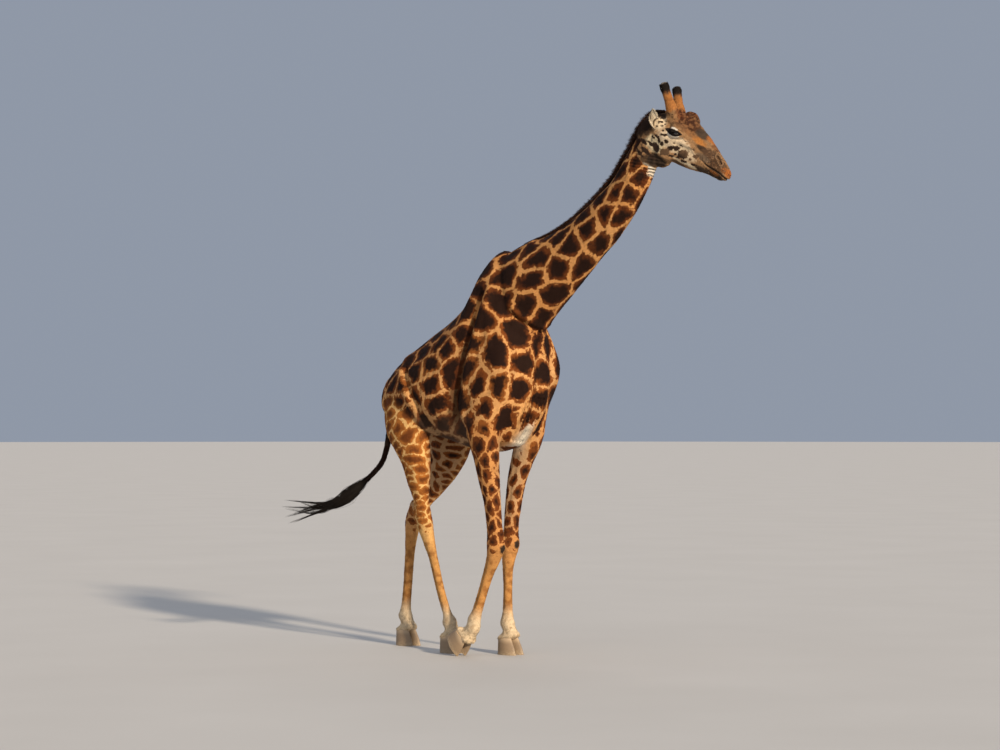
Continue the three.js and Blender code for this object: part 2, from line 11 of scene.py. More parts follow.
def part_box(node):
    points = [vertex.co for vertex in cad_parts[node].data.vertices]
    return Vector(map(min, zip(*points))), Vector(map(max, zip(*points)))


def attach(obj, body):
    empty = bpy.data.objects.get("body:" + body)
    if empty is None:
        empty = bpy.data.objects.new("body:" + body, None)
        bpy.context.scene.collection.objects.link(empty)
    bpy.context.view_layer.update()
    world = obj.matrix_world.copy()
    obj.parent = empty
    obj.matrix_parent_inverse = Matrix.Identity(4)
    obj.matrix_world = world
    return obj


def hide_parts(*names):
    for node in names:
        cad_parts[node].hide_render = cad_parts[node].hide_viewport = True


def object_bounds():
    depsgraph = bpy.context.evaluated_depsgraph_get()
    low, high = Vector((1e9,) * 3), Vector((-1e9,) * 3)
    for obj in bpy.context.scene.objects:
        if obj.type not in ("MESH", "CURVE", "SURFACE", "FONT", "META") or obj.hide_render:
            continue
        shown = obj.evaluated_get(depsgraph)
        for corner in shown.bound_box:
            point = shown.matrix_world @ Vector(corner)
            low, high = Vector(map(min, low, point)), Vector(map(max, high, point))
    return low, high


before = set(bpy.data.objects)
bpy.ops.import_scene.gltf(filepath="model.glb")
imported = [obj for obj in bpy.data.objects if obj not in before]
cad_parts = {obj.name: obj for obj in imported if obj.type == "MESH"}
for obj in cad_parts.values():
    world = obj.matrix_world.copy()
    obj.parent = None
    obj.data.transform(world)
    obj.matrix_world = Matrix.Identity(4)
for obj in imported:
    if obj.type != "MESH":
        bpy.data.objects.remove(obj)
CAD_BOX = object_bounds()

MM = 0.001
TAU = 2 * math.pi
X, Y, Z = np.eye(3)
SIDES = ((1, "left"), (-1, "right"))

# ---------------------------------------------------------------- dimensions, in mm, as in the solids

# Trunk sections from the rump to the breast: x, top, bottom, half-width.
TRUNK = [
    (-1330, 2150, 2000, 55), (-1250, 2265, 1925, 165), (-1090, 2405, 1872, 275), (-880, 2530, 1820, 335),
    (-660, 2645, 1785, 380), (-440, 2760, 1720, 402), (-240, 2920, 1668, 398), (-105, 3160, 1645, 368),
    (30, 3268, 1645, 334), (210, 3190, 1690, 292), (330, 2960, 1830, 235), (405, 2720, 2030, 145),
    (435, 2620, 2220, 60),
]
BARREL_LOW = 0.22  # how much wider the barrel is low down than high up

# Round limbs: centre x, y, z, half-depth, half-width.
NECK = [
    (110, 0, 2790, 380, 220), (345, 2, 2955, 346, 200), (603, 10, 3100, 282, 165),
    (790, 16, 3209, 237, 143), (936, 20, 3310, 212, 130), (1152, 30, 3475, 194, 118),
    (1350, 40, 3669, 168, 106), (1480, 56, 3872, 152, 100), (1598, 84, 4082, 132, 92),
]
TAIL = [
    (-1200, 0, 2190, 75, 62), (-1300, 8, 2110, 58, 50), (-1352, 26, 1960, 36, 34), (-1350, 16, 1790, 31, 30),
    (-1379, -34, 1560, 28, 27), (-1458, -115, 1425, 27, 26), (-1540, -180, 1330, 26, 25),
]
LEGS = {
    "foreleg_right": [
        (-20, -120, 2960, 120, 50), (75, -190, 2700, 215, 95), (145, -245, 2330, 255, 125),
        (100, -260, 2010, 200, 118), (78, -258, 1770, 158, 112), (98, -250, 1600, 121, 97),
        (116, -238, 1424, 100, 85), (138, -227, 1264, 82, 71), (152, -214, 1050, 76, 64),
        (162, -206, 900, 86, 75), (130, -207, 785, 66, 60), (85, -212, 680, 53, 47),
        (27, -220, 524, 48, 43), (-22, -232, 378, 50, 45), (-58, -240, 285, 68, 58),
    ],
    "foreleg_left": [
        (-30, 120, 2960, 120, 50), (60, 190, 2700, 215, 95), (140, 250, 2330, 258, 125),
        (112, 256, 2010, 172, 110), (90, 242, 1760, 135, 102), (26, 230, 1581, 106, 86),
        (-18, 218, 1440, 90, 76), (-42, 200, 1253, 79, 68), (-46, 176, 1040, 73, 62),
        (-42, 162, 892, 83, 73), (-54, 155, 775, 64, 58), (-57, 150, 680, 52, 46),
        (-50, 141, 521, 47, 42), (-46, 136, 370, 49, 44), (-46, 132, 270, 67, 58),
    ],
    "hindleg_right": [
        (-930, -130, 2290, 120, 70), (-925, -190, 2130, 214, 114), (-855, -238, 1900, 236, 139),
        (-772, -258, 1730, 193, 128), (-724, -255, 1571, 146, 110), (-704, -240, 1375, 112, 84),
        (-695, -222, 1240, 82, 62), (-684, -202, 1085, 92, 61), (-655, -182, 940, 68, 52),
        (-618, -160, 780, 48, 41), (-566, -128, 520, 45, 38), (-516, -102, 330, 46, 40),
        (-494, -92, 262, 58, 50),
    ],
    "hindleg_left": [
        (-960, 130, 2290, 120, 70), (-940, 190, 2130, 226, 116), (-895, 240, 1900, 260, 142),
        (-858, 256, 1720, 240, 130), (-905, 250, 1540, 170, 109), (-1010, 240, 1370, 108, 82),
        (-1140, 222, 1220, 82, 62), (-1232, 202, 1080, 94, 62), (-1252, 186, 930, 68, 53),
        (-1258, 174, 775, 52, 44), (-1272, 162, 500, 49, 42), (-1284, 156, 350, 51, 44),
        (-1290, 152, 268, 64, 55),
    ],
}

# Head, in its own frame: x from the poll to the nose, z up from the jaw to the brow.
HEAD_AT = (1520, 50, 4130)
HEAD_YAW = math.radians(20)
HEAD_PITCH = math.radians(34)
SKULL = [
    (-25, 120, -70, 66), (30, 178, -95, 92), (105, 228, -102, 104), (185, 272, -98, 108),
    (260, 296, -90, 106), (335, 290, -80, 95), (415, 264, -70, 80), (500, 240, -52, 69),
    (575, 207, -28, 60), (645, 177, -4, 55), (705, 152, -2, 54), (755, 126, 8, 50), (784, 103, 28, 39),
    (799, 84, 46, 22),
]
SKULL_LOW = 0.06
# Rounded masses of the head: centre, half sizes, nose-down turn in degrees.
HEAD_MIDDLE = [
    ((290, 0, 284), (70, 40, 44), 12), ((744, 0, 78), (56, 50, 40), 22),
    ((704, 0, 30), (64, 42, 30), 10), ((246, 0, -96), (84, 62, 74), 0),
]
HEAD_PAIRED = [
    ((272, 78, 160), (80, 56, 52), 8), ((215, 66, 58), (150, 46, 62), 8), ((235, 54, -18), (140, 42, 82), 0),
    ((104, 78, 104), (62, 40, 62), 0), ((154, 62, 228), (60, 46, 44), 0),
    ((186, 70, 190), (70, 40, 62), -8),
]
EYE_AT, EYE_RADIUS = (286, 116, 133), 27
OSSICONE_FOOT, OSSICONE_TIP = (158, 74, 246), (-6, 140, 397)
OSSICONE_BASE, OSSICONE_WAIST, OSSICONE_KNOB = 54, 35, 38
EAR_ROOT, EAR_TIP = (112, 92, 82), (42, 192, 196)
EAR_WIDE, EAR_CUP, EAR_SHELL, EAR_OUT = 46, 27, 7, math.radians(8)

# Feet: one frame per foot at the fetlock, x towards the toes, z up the leg.
PASTERN_LENGTH, PASTERN_LEAN, CORONET_LEAN = 128, math.radians(27), math.radians(14)
CLAW_LENGTH, CLAW_HEEL, CLAW_WIDTH, CLAW_CLEFT = 198, 0.3, 84, 7
CLAW_LEVELS = [(0, 1, 0, 1), (55, 0.9, -9, 0.94), (105, 0.77, -22, 0.86), (150, 0.66, -36, 0.78)]
STANDING_FETLOCK = 256
TOE_OFF = {"foreleg_right": math.radians(58)}
TOE_FLAT = 4

TASSEL_ROOT, TASSEL_BELLY = (-1540, -180, 1330), (-1650, -285, 1200)
TASSEL_TIPS = [
    (-2085, -575, 1245), (-2115, -545, 1180), (-2095, -590, 1100), (-2025, -585, 1020), (-1910, -445, 1050),
]

COAT_DEPTH = 6  # how far the skin lies inside the solids
BODY_VOXEL, HEAD_VOXEL = 0.0105, 0.0036
SEAM_AT, SEAM_ALONG = np.array([1415, 48, 3770]) * MM, np.array([0.54, 0.05, 0.84])

# Linear colours.
TAWNY = (0.54, 0.235, 0.066)
BUFF = (0.62, 0.335, 0.130)
CREAM = (0.66, 0.52, 0.34)
HORN_TAN = (0.34, 0.135, 0.038)
WHITE = (0.76, 0.70, 0.58)
EAR_CREAM = (0.66, 0.56, 0.42)
RED_BROWN = (0.20, 0.054, 0.010)
ORANGE_BROWN = (0.40, 0.140, 0.026)
UMBER = (0.070, 0.018, 0.005)
NEAR_BLACK = (0.017, 0.0062, 0.0032)


# ---------------------------------------------------------------- curves and meshes

def unit(v):
    v = np.asarray(v, float)
    return v / np.maximum(np.linalg.norm(v, axis=-1, keepdims=True), 1e-12)


def smooth(low, high, x):
    """0 at low, 1 at high, and a smooth step between; low may be the greater one."""
    t = np.clip((x - low) / (high - low), 0, 1)
    return t * t * (3 - 2 * t)


def bell(x, wide):
    """1 where x is 0, falling off to both sides."""
    return np.exp(-(x / wide) ** 2)


def dot(a, b):
    """Dot product of each row of a with the same row of b."""
    return np.einsum("ij,ij->i", a, b)


def spline(points, ts):
    """Points of the centripetal Catmull-Rom curve through the given points, at ts from 0 to 1."""
    p = np.asarray(points, float)
    p = np.vstack([2 * p[0] - p[1], p, 2 * p[-1] - p[-2]])
    gap = np.maximum(np.linalg.norm(np.diff(p, axis=0), axis=1), 1e-9) ** 0.5
    at = np.clip(np.asarray(ts, float), 0, 1) * (len(p) - 3)
    i = np.minimum(at.astype(int), len(p) - 4)
    w = (at - i)[:, None]
    p0, p1, p2, p3 = (p[i + k] for k in range(4))
    d0, d1, d2 = (gap[i + k][:, None] for k in range(3))
    t1 = ((p1 - p0) / d0 - (p2 - p0) / (d0 + d1) + (p2 - p1) / d1) * d1
    t2 = ((p2 - p1) / d1 - (p3 - p1) / (d1 + d2) + (p3 - p2) / d2) * d1
    return p1 + t1 * w + (3 * (p2 - p1) - 2 * t1 - t2) * w**2 + (2 * (p1 - p2) + t1 + t2) * w**3


def upright(sections):
    return [(x, 0, (top + low) / 2, (top - low) / 2, wide) for x, top, low, wide in sections]


class Limb:
    """A body of elliptical sections along a smooth line, and places measured on it."""

    def __init__(self, name, stations, standing=False, low=0.0, samples=90):
        self.name, self.low = name, low
        stations = np.asarray(stations, float) * MM
        ts = np.linspace(0, 1, samples)
        self.c = spline(stations[:, :3], ts)
        self.t = unit(spline(stations[:, :3], ts + 1e-4) - spline(stations[:, :3], ts - 1e-4))
        half = spline(stations[:, 3:], ts)
        self.deep, self.wide = half[:, 0], half[:, 1]
        self.w = np.tile(Y, (samples, 1)) if standing else unit(Y - self.t * (self.t @ Y)[:, None])
        self.d = np.tile(Z, (samples, 1)) if standing else np.cross(self.t, self.w)
        self.s = np.concatenate([[0], np.cumsum(np.linalg.norm(np.diff(self.c, axis=0), axis=1))])
        self.standing = standing

    def rings(self, sides=56, grow=-COAT_DEPTH * MM, first=0):
        a = np.arange(sides) / sides * TAU
        swell = 1 - self.low * np.sin(a)  # more low down than high up
        c = self.c.copy()
        c[0] -= self.t[0] * grow
        c[-1] += self.t[-1] * grow
        across = (self.wide[:, None] + grow) * swell * np.cos(a)
        up = (self.deep[:, None] + grow) * np.sin(a)
        points = c[:, None] + self.w[:, None] * across[..., None] + self.d[:, None] * up[..., None]
        return points[first:]

    def locate(self, p):
        """Nearest section, arc length, angle and distance from the line in half-widths."""
        best = np.full(len(p), np.inf)
        at = np.zeros(len(p), int)
        for k in range(len(self.c)):
            v = p - self.c[k]
            far = np.abs(v @ self.t[k]) if self.standing else dot(v, v)
            near = far < best
            best[near] = far[near]
            at[near] = k
        beyond = dot(p - self.c[at], self.t[at])
        u = at + beyond / np.gradient(self.s)[at]
        low = np.clip(u.astype(int), 0, len(self.c) - 2)
        f = np.clip(u - low, 0, 1)

        def here(values):
            share = f if values.ndim == 1 else f[:, None]
            return values[low] * (1 - share) + values[low + 1] * share

        v = p - here(self.c)
        w = dot(v, here(self.w)) / here(self.wide)
        d = dot(v, here(self.d)) / here(self.deep)
        angle = np.arctan2(d, w)
        reach = np.hypot(w, d) / (1 - self.low * np.sin(angle))
        outside = np.maximum(0, np.maximum(-u, u - len(self.c) + 1) * np.gradient(self.s)[at])
        return at, self.s[at] + beyond, angle, reach + outside / (self.wide[at] + 0.02)

    def on(self, z, angle):
        """A point on the surface at a height in mm, angle in degrees (90 is forwards or up)."""
        k = int(np.argmin(np.abs(self.c[:, 2] - z * MM)))
        a = math.radians(angle)
        return self.c[k] + self.w[k] * self.wide[k] * math.cos(a) + self.d[k] * self.deep[k] * math.sin(a)


def ring_faces(rows, sides):
    """Triangles over rings of equal length, with a fan at both ends. The two middles come last."""
    r, s = np.meshgrid(np.arange(rows - 1), np.arange(sides), indexing="ij")
    a, b = (r * sides + s).ravel(), (r * sides + (s + 1) % sides).ravel()
    s = np.arange(sides)
    after, last = (s + 1) % sides, (rows - 1) * sides
    first_middle, last_middle = np.full(sides, rows * sides), np.full(sides, rows * sides + 1)
    return np.concatenate([
        np.stack([a, b, b + sides], 1), np.stack([a, b + sides, a + sides], 1),
        np.stack([first_middle, after, s], 1), np.stack([last_middle, last + s, last + after], 1),
    ])


def skin_rings(rings):
    """A closed shape over rings of points, its faces pointing out."""
    rings = np.asarray(rings)
    rows, sides = rings.shape[:2]
    co = np.vstack([rings.reshape(-1, 3), rings[0].mean(0), rings[-1].mean(0)])
    tris = ring_faces(rows, sides)
    a, b, c = (co[tris[:, k]] for k in range(3))
    if np.einsum("ij,ij->", a, np.cross(b, c)) < 0:
        tris = tris[:, ::-1]
    return co, tris


def ball(rows, sides, gap):
    """Rings of a ball of radius 1 that leave a small gap round its poles."""
    lat = np.linspace(gap, math.pi - gap, rows)[:, None]
    lon = np.arange(sides)[None] / sides * TAU
    return np.stack([np.sin(lat) * np.cos(lon), np.sin(lat) * np.sin(lon), np.cos(lat) + 0 * lon], -1)


def egg(at, half, turn, grow):
    """An egg of half sizes in mm, turned about y by so many degrees."""
    shape = ball(22, 32, 0.04) * (np.asarray(half) + grow) @ turn_y(math.radians(turn)).T
    return skin_rings((shape + np.asarray(at)) * MM)


def turn_y(a):
    return np.array([[math.cos(a), 0, math.sin(a)], [0, 1, 0], [-math.sin(a), 0, math.cos(a)]])


def turn_z(a):
    return np.array([[math.cos(a), -math.sin(a), 0], [math.sin(a), math.cos(a), 0], [0, 0, 1]])


HEAD_TURN = turn_z(HEAD_YAW) @ turn_y(HEAD_PITCH)
HEAD_O = np.array(HEAD_AT) * MM


def from_head(p):
    return np.asarray(p) @ HEAD_TURN.T + HEAD_O


def to_head(p):
    return (np.asarray(p) - HEAD_O) @ HEAD_TURN


# The body is laid out as the solids were, and every point is then moved by the same step.
SHIFT = np.mean(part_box("eye_left"), axis=0) - from_head(np.array(EYE_AT) * MM)


def joined(shapes):
    cos, tris, start = [], [], 0
    for co, t in shapes:
        cos.append(co)
        tris.append(t + start)
        start += len(co)
    return np.vstack(cos), np.vstack(tris)


def mesh_of(name, co, faces):
    """A mesh from arrays of points and of triangles or quads."""
    me = bpy.data.meshes.new(name)
    faces = np.ascontiguousarray(faces, dtype=np.int32)
    me.vertices.add(len(co))
    me.vertices.foreach_set("co", np.ascontiguousarray(co, dtype=np.float32).ravel())
    me.loops.add(faces.size)
    me.loops.foreach_set("vertex_index", faces.ravel())
    me.polygons.add(len(faces))
    me.polygons.foreach_set("loop_start", np.arange(0, faces.size, faces.shape[1], dtype=np.int32))
    me.update(calc_edges=True)
    me.shade_smooth()
    return me


def linked(name, data):
    """An object with this data, in the scene."""
    ob = bpy.data.objects.new(name, data)
    bpy.context.scene.collection.objects.link(ob)
    return ob


def piece(name, co, faces, material):
    """A named piece of the model, moved into the row frame, riding on the one body."""
    ob = linked(name, mesh_of(name, co + SHIFT, faces))
    ob.data.materials.append(material)
    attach(ob, "root")
    return ob


def arrays_of(me):
    co = np.empty(len(me.vertices) * 3, np.float32)
    me.vertices.foreach_get("co", co)
    me.calc_loop_triangles()
    tris = np.empty(len(me.loop_triangles) * 3, np.int32)
    me.loop_triangles.foreach_get("vertices", tris)
    return co.reshape(-1, 3).astype(float), tris.reshape(-1, 3)


def remeshed(shapes, voxel):
    """One closed mesh round all the shapes."""
    ob = linked("remesh", mesh_of("remesh", *joined(shapes)))
    mod = ob.modifiers.new("remesh", "REMESH")
    mod.mode = "VOXEL"
    mod.voxel_size = voxel
    me = bpy.data.meshes.new_from_object(ob.evaluated_get(bpy.context.evaluated_depsgraph_get()))
    old = ob.data
    bpy.data.objects.remove(ob)
    bpy.data.meshes.remove(old)
    return me


def add_float(me, name, values):
    me.attributes.new(name, "FLOAT", "POINT").data.foreach_set("value", values.astype(np.float32))


def add_vector(me, name, values):
    values = np.ascontiguousarray(values, dtype=np.float32).ravel()
    me.attributes.new(name, "FLOAT_VECTOR", "POINT").data.foreach_set("vector", values)


def edges_of(tris):
    e = np.sort(np.concatenate([tris[:, :2], tris[:, 1:], tris[:, ::2]]), axis=1).astype(np.int64)
    return np.unique(e[:, 0] << 32 | e[:, 1])


class Web:
    """Neighbours of a mesh's points, for smoothing."""

    def __init__(self, count, tris):
        keys = edges_of(tris)
        self.a, self.b = (keys >> 32).astype(int), (keys & 0xFFFFFFFF).astype(int)
        self.n = count
        ends = np.concatenate([self.a, self.b])
        self.degree = np.maximum(np.bincount(ends, minlength=count), 1)

    def mean(self, v):
        flat = v.reshape(self.n, -1)
        out = np.empty_like(flat, dtype=float)
        for k in range(flat.shape[1]):
            out[:, k] = (np.bincount(self.a, flat[self.b, k], self.n)
                         + np.bincount(self.b, flat[self.a, k], self.n)) / self.degree
        return out.reshape(v.shape)


def normals_of(co, tris):
    a, b, c = (co[tris[:, k]] for k in range(3))
    face = np.cross(b - a, c - a)
    out = np.zeros_like(co)
    for k in range(3):
        for j in range(3):
            out[:, k] += np.bincount(tris[:, j], face[:, k], len(co))
    return unit(out)


# ---------------------------------------------------------------- noise and distances

# Seeds of the random draws. Pieces of one kind count on from theirs.
LATTICE_DRAW, PATCH_DRAW, HUE_DRAW = 7, 418, 5
TUFT_DRAW, EAR_DRAW, HORN_DRAW = 100, 300, 400
MANE_DRAW, MANE_TONE_DRAW = 71, 72
TASSEL_DRAW, TASSEL_WIDTH_DRAW, TASSEL_TONE_DRAW = 81, 20261, 82
UPPER_LASH_DRAW, LOWER_LASH_DRAW, LASH_TONE_DRAW = 91, 92, 93


def draws(seed):
    return np.random.default_rng(seed)


LATTICE = 32
GRADIENTS = unit(draws(LATTICE_DRAW).normal(size=(LATTICE**3, 3))).astype(np.float32)


def noise(p, size, seed=0.0):
    """Smooth gradient noise from about -1 to 1 with features of the given size. Each seed is another one."""
    q = np.asarray(p) / size + seed * 7.31
    cell = np.floor(q)
    f = (q - cell).astype(np.float32)
    low = cell.astype(np.int64) % LATTICE
    high = (low + 1) % LATTICE
    w = f * f * f * (f * (f * 6 - 15) + 10)

    def corner(dx, dy, dz):
        a, b, c = ((high if d else low)[:, k] for k, d in enumerate((dx, dy, dz)))
        g = GRADIENTS[(a * LATTICE + b) * LATTICE + c]
        return g[:, 0] * (f[:, 0] - dx) + g[:, 1] * (f[:, 1] - dy) + g[:, 2] * (f[:, 2] - dz)

    def between(a, b, k):
        return a + (b - a) * w[:, k]

    a, b, c, d = (between(corner(0, dy, dz), corner(1, dy, dz), 0) for dz in (0, 1) for dy in (0, 1))
    return 1.7 * between(between(a, b, 1), between(c, d, 1), 2).astype(float)


def line_distance(p, line):
    """Distance of each point from a line through the given points."""
    line = np.asarray(line, float)
    best = np.full(len(p), np.inf)
    for a, b in zip(line, line[1:]):
        ab = b - a
        t = np.clip((p - a) @ ab / (ab @ ab), 0, 1)
        best = np.minimum(best, np.linalg.norm(p - a - t[:, None] * ab, axis=1))
    return best


# ---------------------------------------------------------------- the skin's rough form

def leg_claw(side, sides=11, levels=CLAW_LEVELS):
    """Rings of one claw in its foot's frame, in mm. The same wedge as in the solids."""
    heel = -CLAW_LENGTH * CLAW_HEEL
    y = side * (CLAW_CLEFT + CLAW_WIDTH) / 2
    a = np.arange(sides) / sides * TAU
    reach = np.cos(a)
    narrow = 1 - 0.32 * np.maximum(0, reach) ** 2
    return np.array([
        np.stack([
            heel + CLAW_LENGTH / 2 * (1 + length * reach) + forward,
            y + CLAW_WIDTH / 2 * wide * narrow * np.sin(a) - side * (1 - wide) * 22,
            np.full(sides, z - STANDING_FETLOCK),
        ], 1)
        for z, length, forward, wide in levels
    ])


class Foot:
    """A foot's place, with its pastern and the plane of its coronet."""

    def __init__(self, name):
        self.roll = TOE_OFF.get(name, 0.0)
        self.turn = turn_y(self.roll)
        low = (leg_claw(1) @ self.turn.T)[..., 2].min()
        x, y = LEGS[name][-1][:2]
        self.at = np.array([x, y, -low - (TOE_FLAT if self.roll else 0)])
        self.down = np.array([math.sin(PASTERN_LEAN), 0, -math.cos(PASTERN_LEAN)])
        self.coronet = self.place(self.down * PASTERN_LENGTH)
        self.coronet_up = self.turn @ np.array([-math.sin(CORONET_LEAN), 0, math.cos(CORONET_LEAN)])

    def place(self, p):
        return (np.asarray(p) @ self.turn.T + self.at) * MM

    def pastern(self):
        shares = [(-0.3, 50, 44), (0, 66, 58), (0.55, 56, 56), (0.9, 66, 70), (1.0, 70, 77), (1.1, 60, 64),
                  (1.16, 40, 42)]
        rows = [(*(self.down * PASTERN_LENGTH * share), deep, wide) for share, deep, wide in shares]
        co, tris = skin_rings(Limb("pastern", rows, samples=30).rings(40, -3 * MM))
        return self.place(co / MM), tris

    def cushions(self):
        """The coronet's soft rim round the tops of both claws, with a bulb over each heel."""
        eggs = []
        for side in (1, -1):
            eggs.append(((6, 40 * side, -114), (66, 34, 26), -14))
            eggs.append(((-40, 41 * side, -124), (27, 31, 30), 0))
        eggs.append(((14, 0, -96), (62, 60, 44), -20))
        shapes = [egg(at, half, turn, 0) for at, half, turn in eggs]
        return [(self.place(co / MM), tris) for co, tris in shapes]


trunk = Limb("trunk", upright(TRUNK), standing=True, low=BARREL_LOW)
neck = Limb("neck", NECK)
tail = Limb("tail", TAIL)
legs = {name: Limb(name, rows) for name, rows in LEGS.items()}
feet = {name: Foot(name) for name in LEGS}
skull = Limb("head", upright(SKULL), standing=True, low=SKULL_LOW)
# Skin round the foot of a horn: shares of the horn's length, and radii in mm.
HORN_BASE = [
    (-0.30, 22), (-0.2, 37), (-0.08, 46), (0.06, 47), (0.2, 43.5), (0.30, 39.5), (0.38, 36.5), (0.46, 31),
]


def horn_ends(side):
    """Foot and tip of an ossicone in the head's frame, in mm."""
    return (np.array(at) * (1, side, 1) for at in (OSSICONE_FOOT, OSSICONE_TIP))


def horn_base(side):
    """Skin that climbs the foot of a horn and ends inside it."""
    foot, tip = horn_ends(side)
    rows = [(*(foot + (tip - foot) * share), radius, radius) for share, radius in HORN_BASE]
    return skin_rings(Limb("horn", rows, samples=24).rings(40, 0))


HEAD_DEPTH = 3  # how far the head's skin lies inside its solid
body_shapes = [skin_rings(limb.rings()) for limb in (trunk, neck, *legs.values())]
body_shapes.append(skin_rings(tail.rings(24, -2 * MM)))
for foot in feet.values():
    body_shapes += [foot.pastern(), *foot.cushions()]

head_shapes = [skin_rings(skull.rings(72, -HEAD_DEPTH * MM))]
head_shapes += [egg(at, half, turn, -HEAD_DEPTH) for at, half, turn in HEAD_MIDDLE]
for side in (1, -1):
    head_shapes += [egg((x, side * y, z), half, turn, -HEAD_DEPTH) for (x, y, z), half, turn in HEAD_PAIRED]
    head_shapes.append(horn_base(side))
head_shapes = [(from_head(co), tris) for co, tris in head_shapes]
head_shapes.append(skin_rings(neck.rings(72, first=50)))


def half_of(me, keep_head):
    """The part of a remeshed skin on one side of the seam across the neck."""
    bm = bmesh.new()
    bm.from_mesh(me)
    bmesh.ops.bisect_plane(
        bm, geom=bm.verts[:] + bm.edges[:] + bm.faces[:], plane_co=SEAM_AT, plane_no=SEAM_ALONG,
        clear_inner=keep_head, clear_outer=not keep_head,
    )
    bm.to_mesh(me)
    bm.free()
    return me


def welded(body, head):
    """Both halves as one closed mesh, bridged round the seam."""
    bm = bmesh.new()
    bm.from_mesh(half_of(body, False))
    bm.from_mesh(half_of(head, True))
    open_edges = [e for e in bm.edges if len(e.link_faces) == 1]
    bmesh.ops.bridge_loops(bm, edges=open_edges)
    bmesh.ops.recalc_face_normals(bm, faces=bm.faces[:])
    return bm


def refine(bm, chosen):
    """Splits each edge between chosen points once and makes triangles of what results."""
    edges = [e for e in bm.edges if chosen[e.verts[0].index] and chosen[e.verts[1].index]]
    bmesh.ops.subdivide_edges(bm, edges=edges, cuts=1, use_grid_fill=True)
    bm.verts.index_update()


def points_of(bm):
    return np.array([v.co for v in bm.verts])


skin_bm = welded(remeshed(body_shapes, BODY_VOXEL), remeshed(head_shapes, HEAD_VOXEL))
skin_bm.verts.ensure_lookup_table()
local = to_head(points_of(skin_bm))
EYES = {side: np.array(EYE_AT) * (1, side, 1) * MM for side in (1, -1)}
NOSTRILS = {side: np.array([[642, side * 38, 152], [668, side * 42, 142], [694, side * 44, 122]]) * MM
            for side in (1, -1)}
near = np.zeros(len(local), bool)
for side in (1, -1):
    near |= np.linalg.norm(local - EYES[side], axis=1) < 0.060
    near |= line_distance(local, NOSTRILS[side]) < 0.030
refine(skin_bm, near)
bmesh.ops.triangulate(skin_bm, faces=skin_bm.faces[:])
skin_mesh = bpy.data.meshes.new("skin_raw")
skin_bm.to_mesh(skin_mesh)
skin_bm.free()
co, tris = arrays_of(skin_mesh)
web = Web(len(co), tris)


# ---------------------------------------------------------------- smoothing

FILL_PASSES, EVEN_PASSES, FLOW_PASSES, MASK_PASSES = 46, 16, 14, 10


def settle(co):
    """Fills the creases where shapes meet, then evens out the voxel steps without shrinking."""
    local = to_head(co)
    on_head = smooth(-0.10, 0.03, local[:, 0] + 0.25 * local[:, 2])
    fill = 1 - 0.55 * on_head
    for _ in range(FILL_PASSES):
        n = normals_of(co, tris)
        move = web.mean(co) - co
        out = dot(move, n)
        co = co + (0.9 * fill * np.maximum(out, 0))[:, None] * n + 0.10 * move
    for k in range(EVEN_PASSES):
        move = web.mean(co) - co
        co = co + (0.55 if k % 2 == 0 else -0.50) * move
    return co


co = settle(co)
normal = normals_of(co, tris)


# ---------------------------------------------------------------- muscles, bones and folds

class Sculpt:
    """Sums up moves along the normal, in mm, from lines and points that are first put on the skin."""

    def __init__(self, points):
        self.p = points
        self.total = np.zeros(len(points))

    def on_skin(self, at):
        at = np.asarray(at, float) * MM
        near = np.flatnonzero(np.abs(self.p - at).max(axis=1) < 0.15)
        return self.p[near[np.argmin(np.linalg.norm(self.p[near] - at, axis=1))]] if len(near) else at

    def line(self, points, width, height):
        line = np.array([self.on_skin(at) for at in points])
        reach = 3 * width * MM  # beyond this the move is nothing
        i = np.flatnonzero(((self.p > line.min(0) - reach) & (self.p < line.max(0) + reach)).all(axis=1))
        d = line_distance(self.p[i], line)
        self.total[i] += height * MM * bell(d, width * MM)

    def spot(self, at, width, height):
        d = (self.p - self.on_skin(at)) / (np.asarray(width, float) * MM)
        self.total += height * MM * np.exp(-dot(d, d))

    def both(self, kind, points, width, height):
        """The same on both sides; points are given for the right, whose y is below 0."""
        for flip in (1, -1):
            getattr(self, kind)(np.asarray(points, float) * (1, flip, 1), width, height)


body = Sculpt(co)
# Shoulder blade, upper arm and the deep fold behind them.
shoulder_fold = np.array([(10, -235, 2930), (-20, -300, 2700), (-62, -350, 2480), (-100, -385, 2250),
                          (-140, -392, 2060), (-165, -372, 1900)])
for flip, share in ((1, 1.0), (-1, 0.55)):
    body.line(shoulder_fold * (1, flip, 1), 34, -50 * share)
    body.line((shoulder_fold + (-70, 0, 0)) * (1, flip, 1), 78, -30 * share)
    body.line((shoulder_fold + (80, 0, 0)) * (1, flip, 1), 58, 24 * share)
body.both("line", [(70, -150, 3120), (120, -262, 2800), (200, -318, 2480)], 34, 9)
body.both("line", [(165, -130, 3060), (265, -205, 2760), (350, -232, 2480)], 36, -12)
body.both("spot", (300, -300, 2330), (90, 90, 120), 20)
body.both("spot", (60, -355, 2200), (120, 90, 150), 16)
body.both("line", [(250, -330, 2180), (150, -360, 2050), (40, -362, 1930)], 28, -11)
body.both("line", [(330, -260, 2200), (290, -330, 2010), (240, -340, 1850)], 26, -8)
body.both("line", [(-80, -360, 1960), (0, -350, 1850), (60, -330, 1780)], 30, 12)
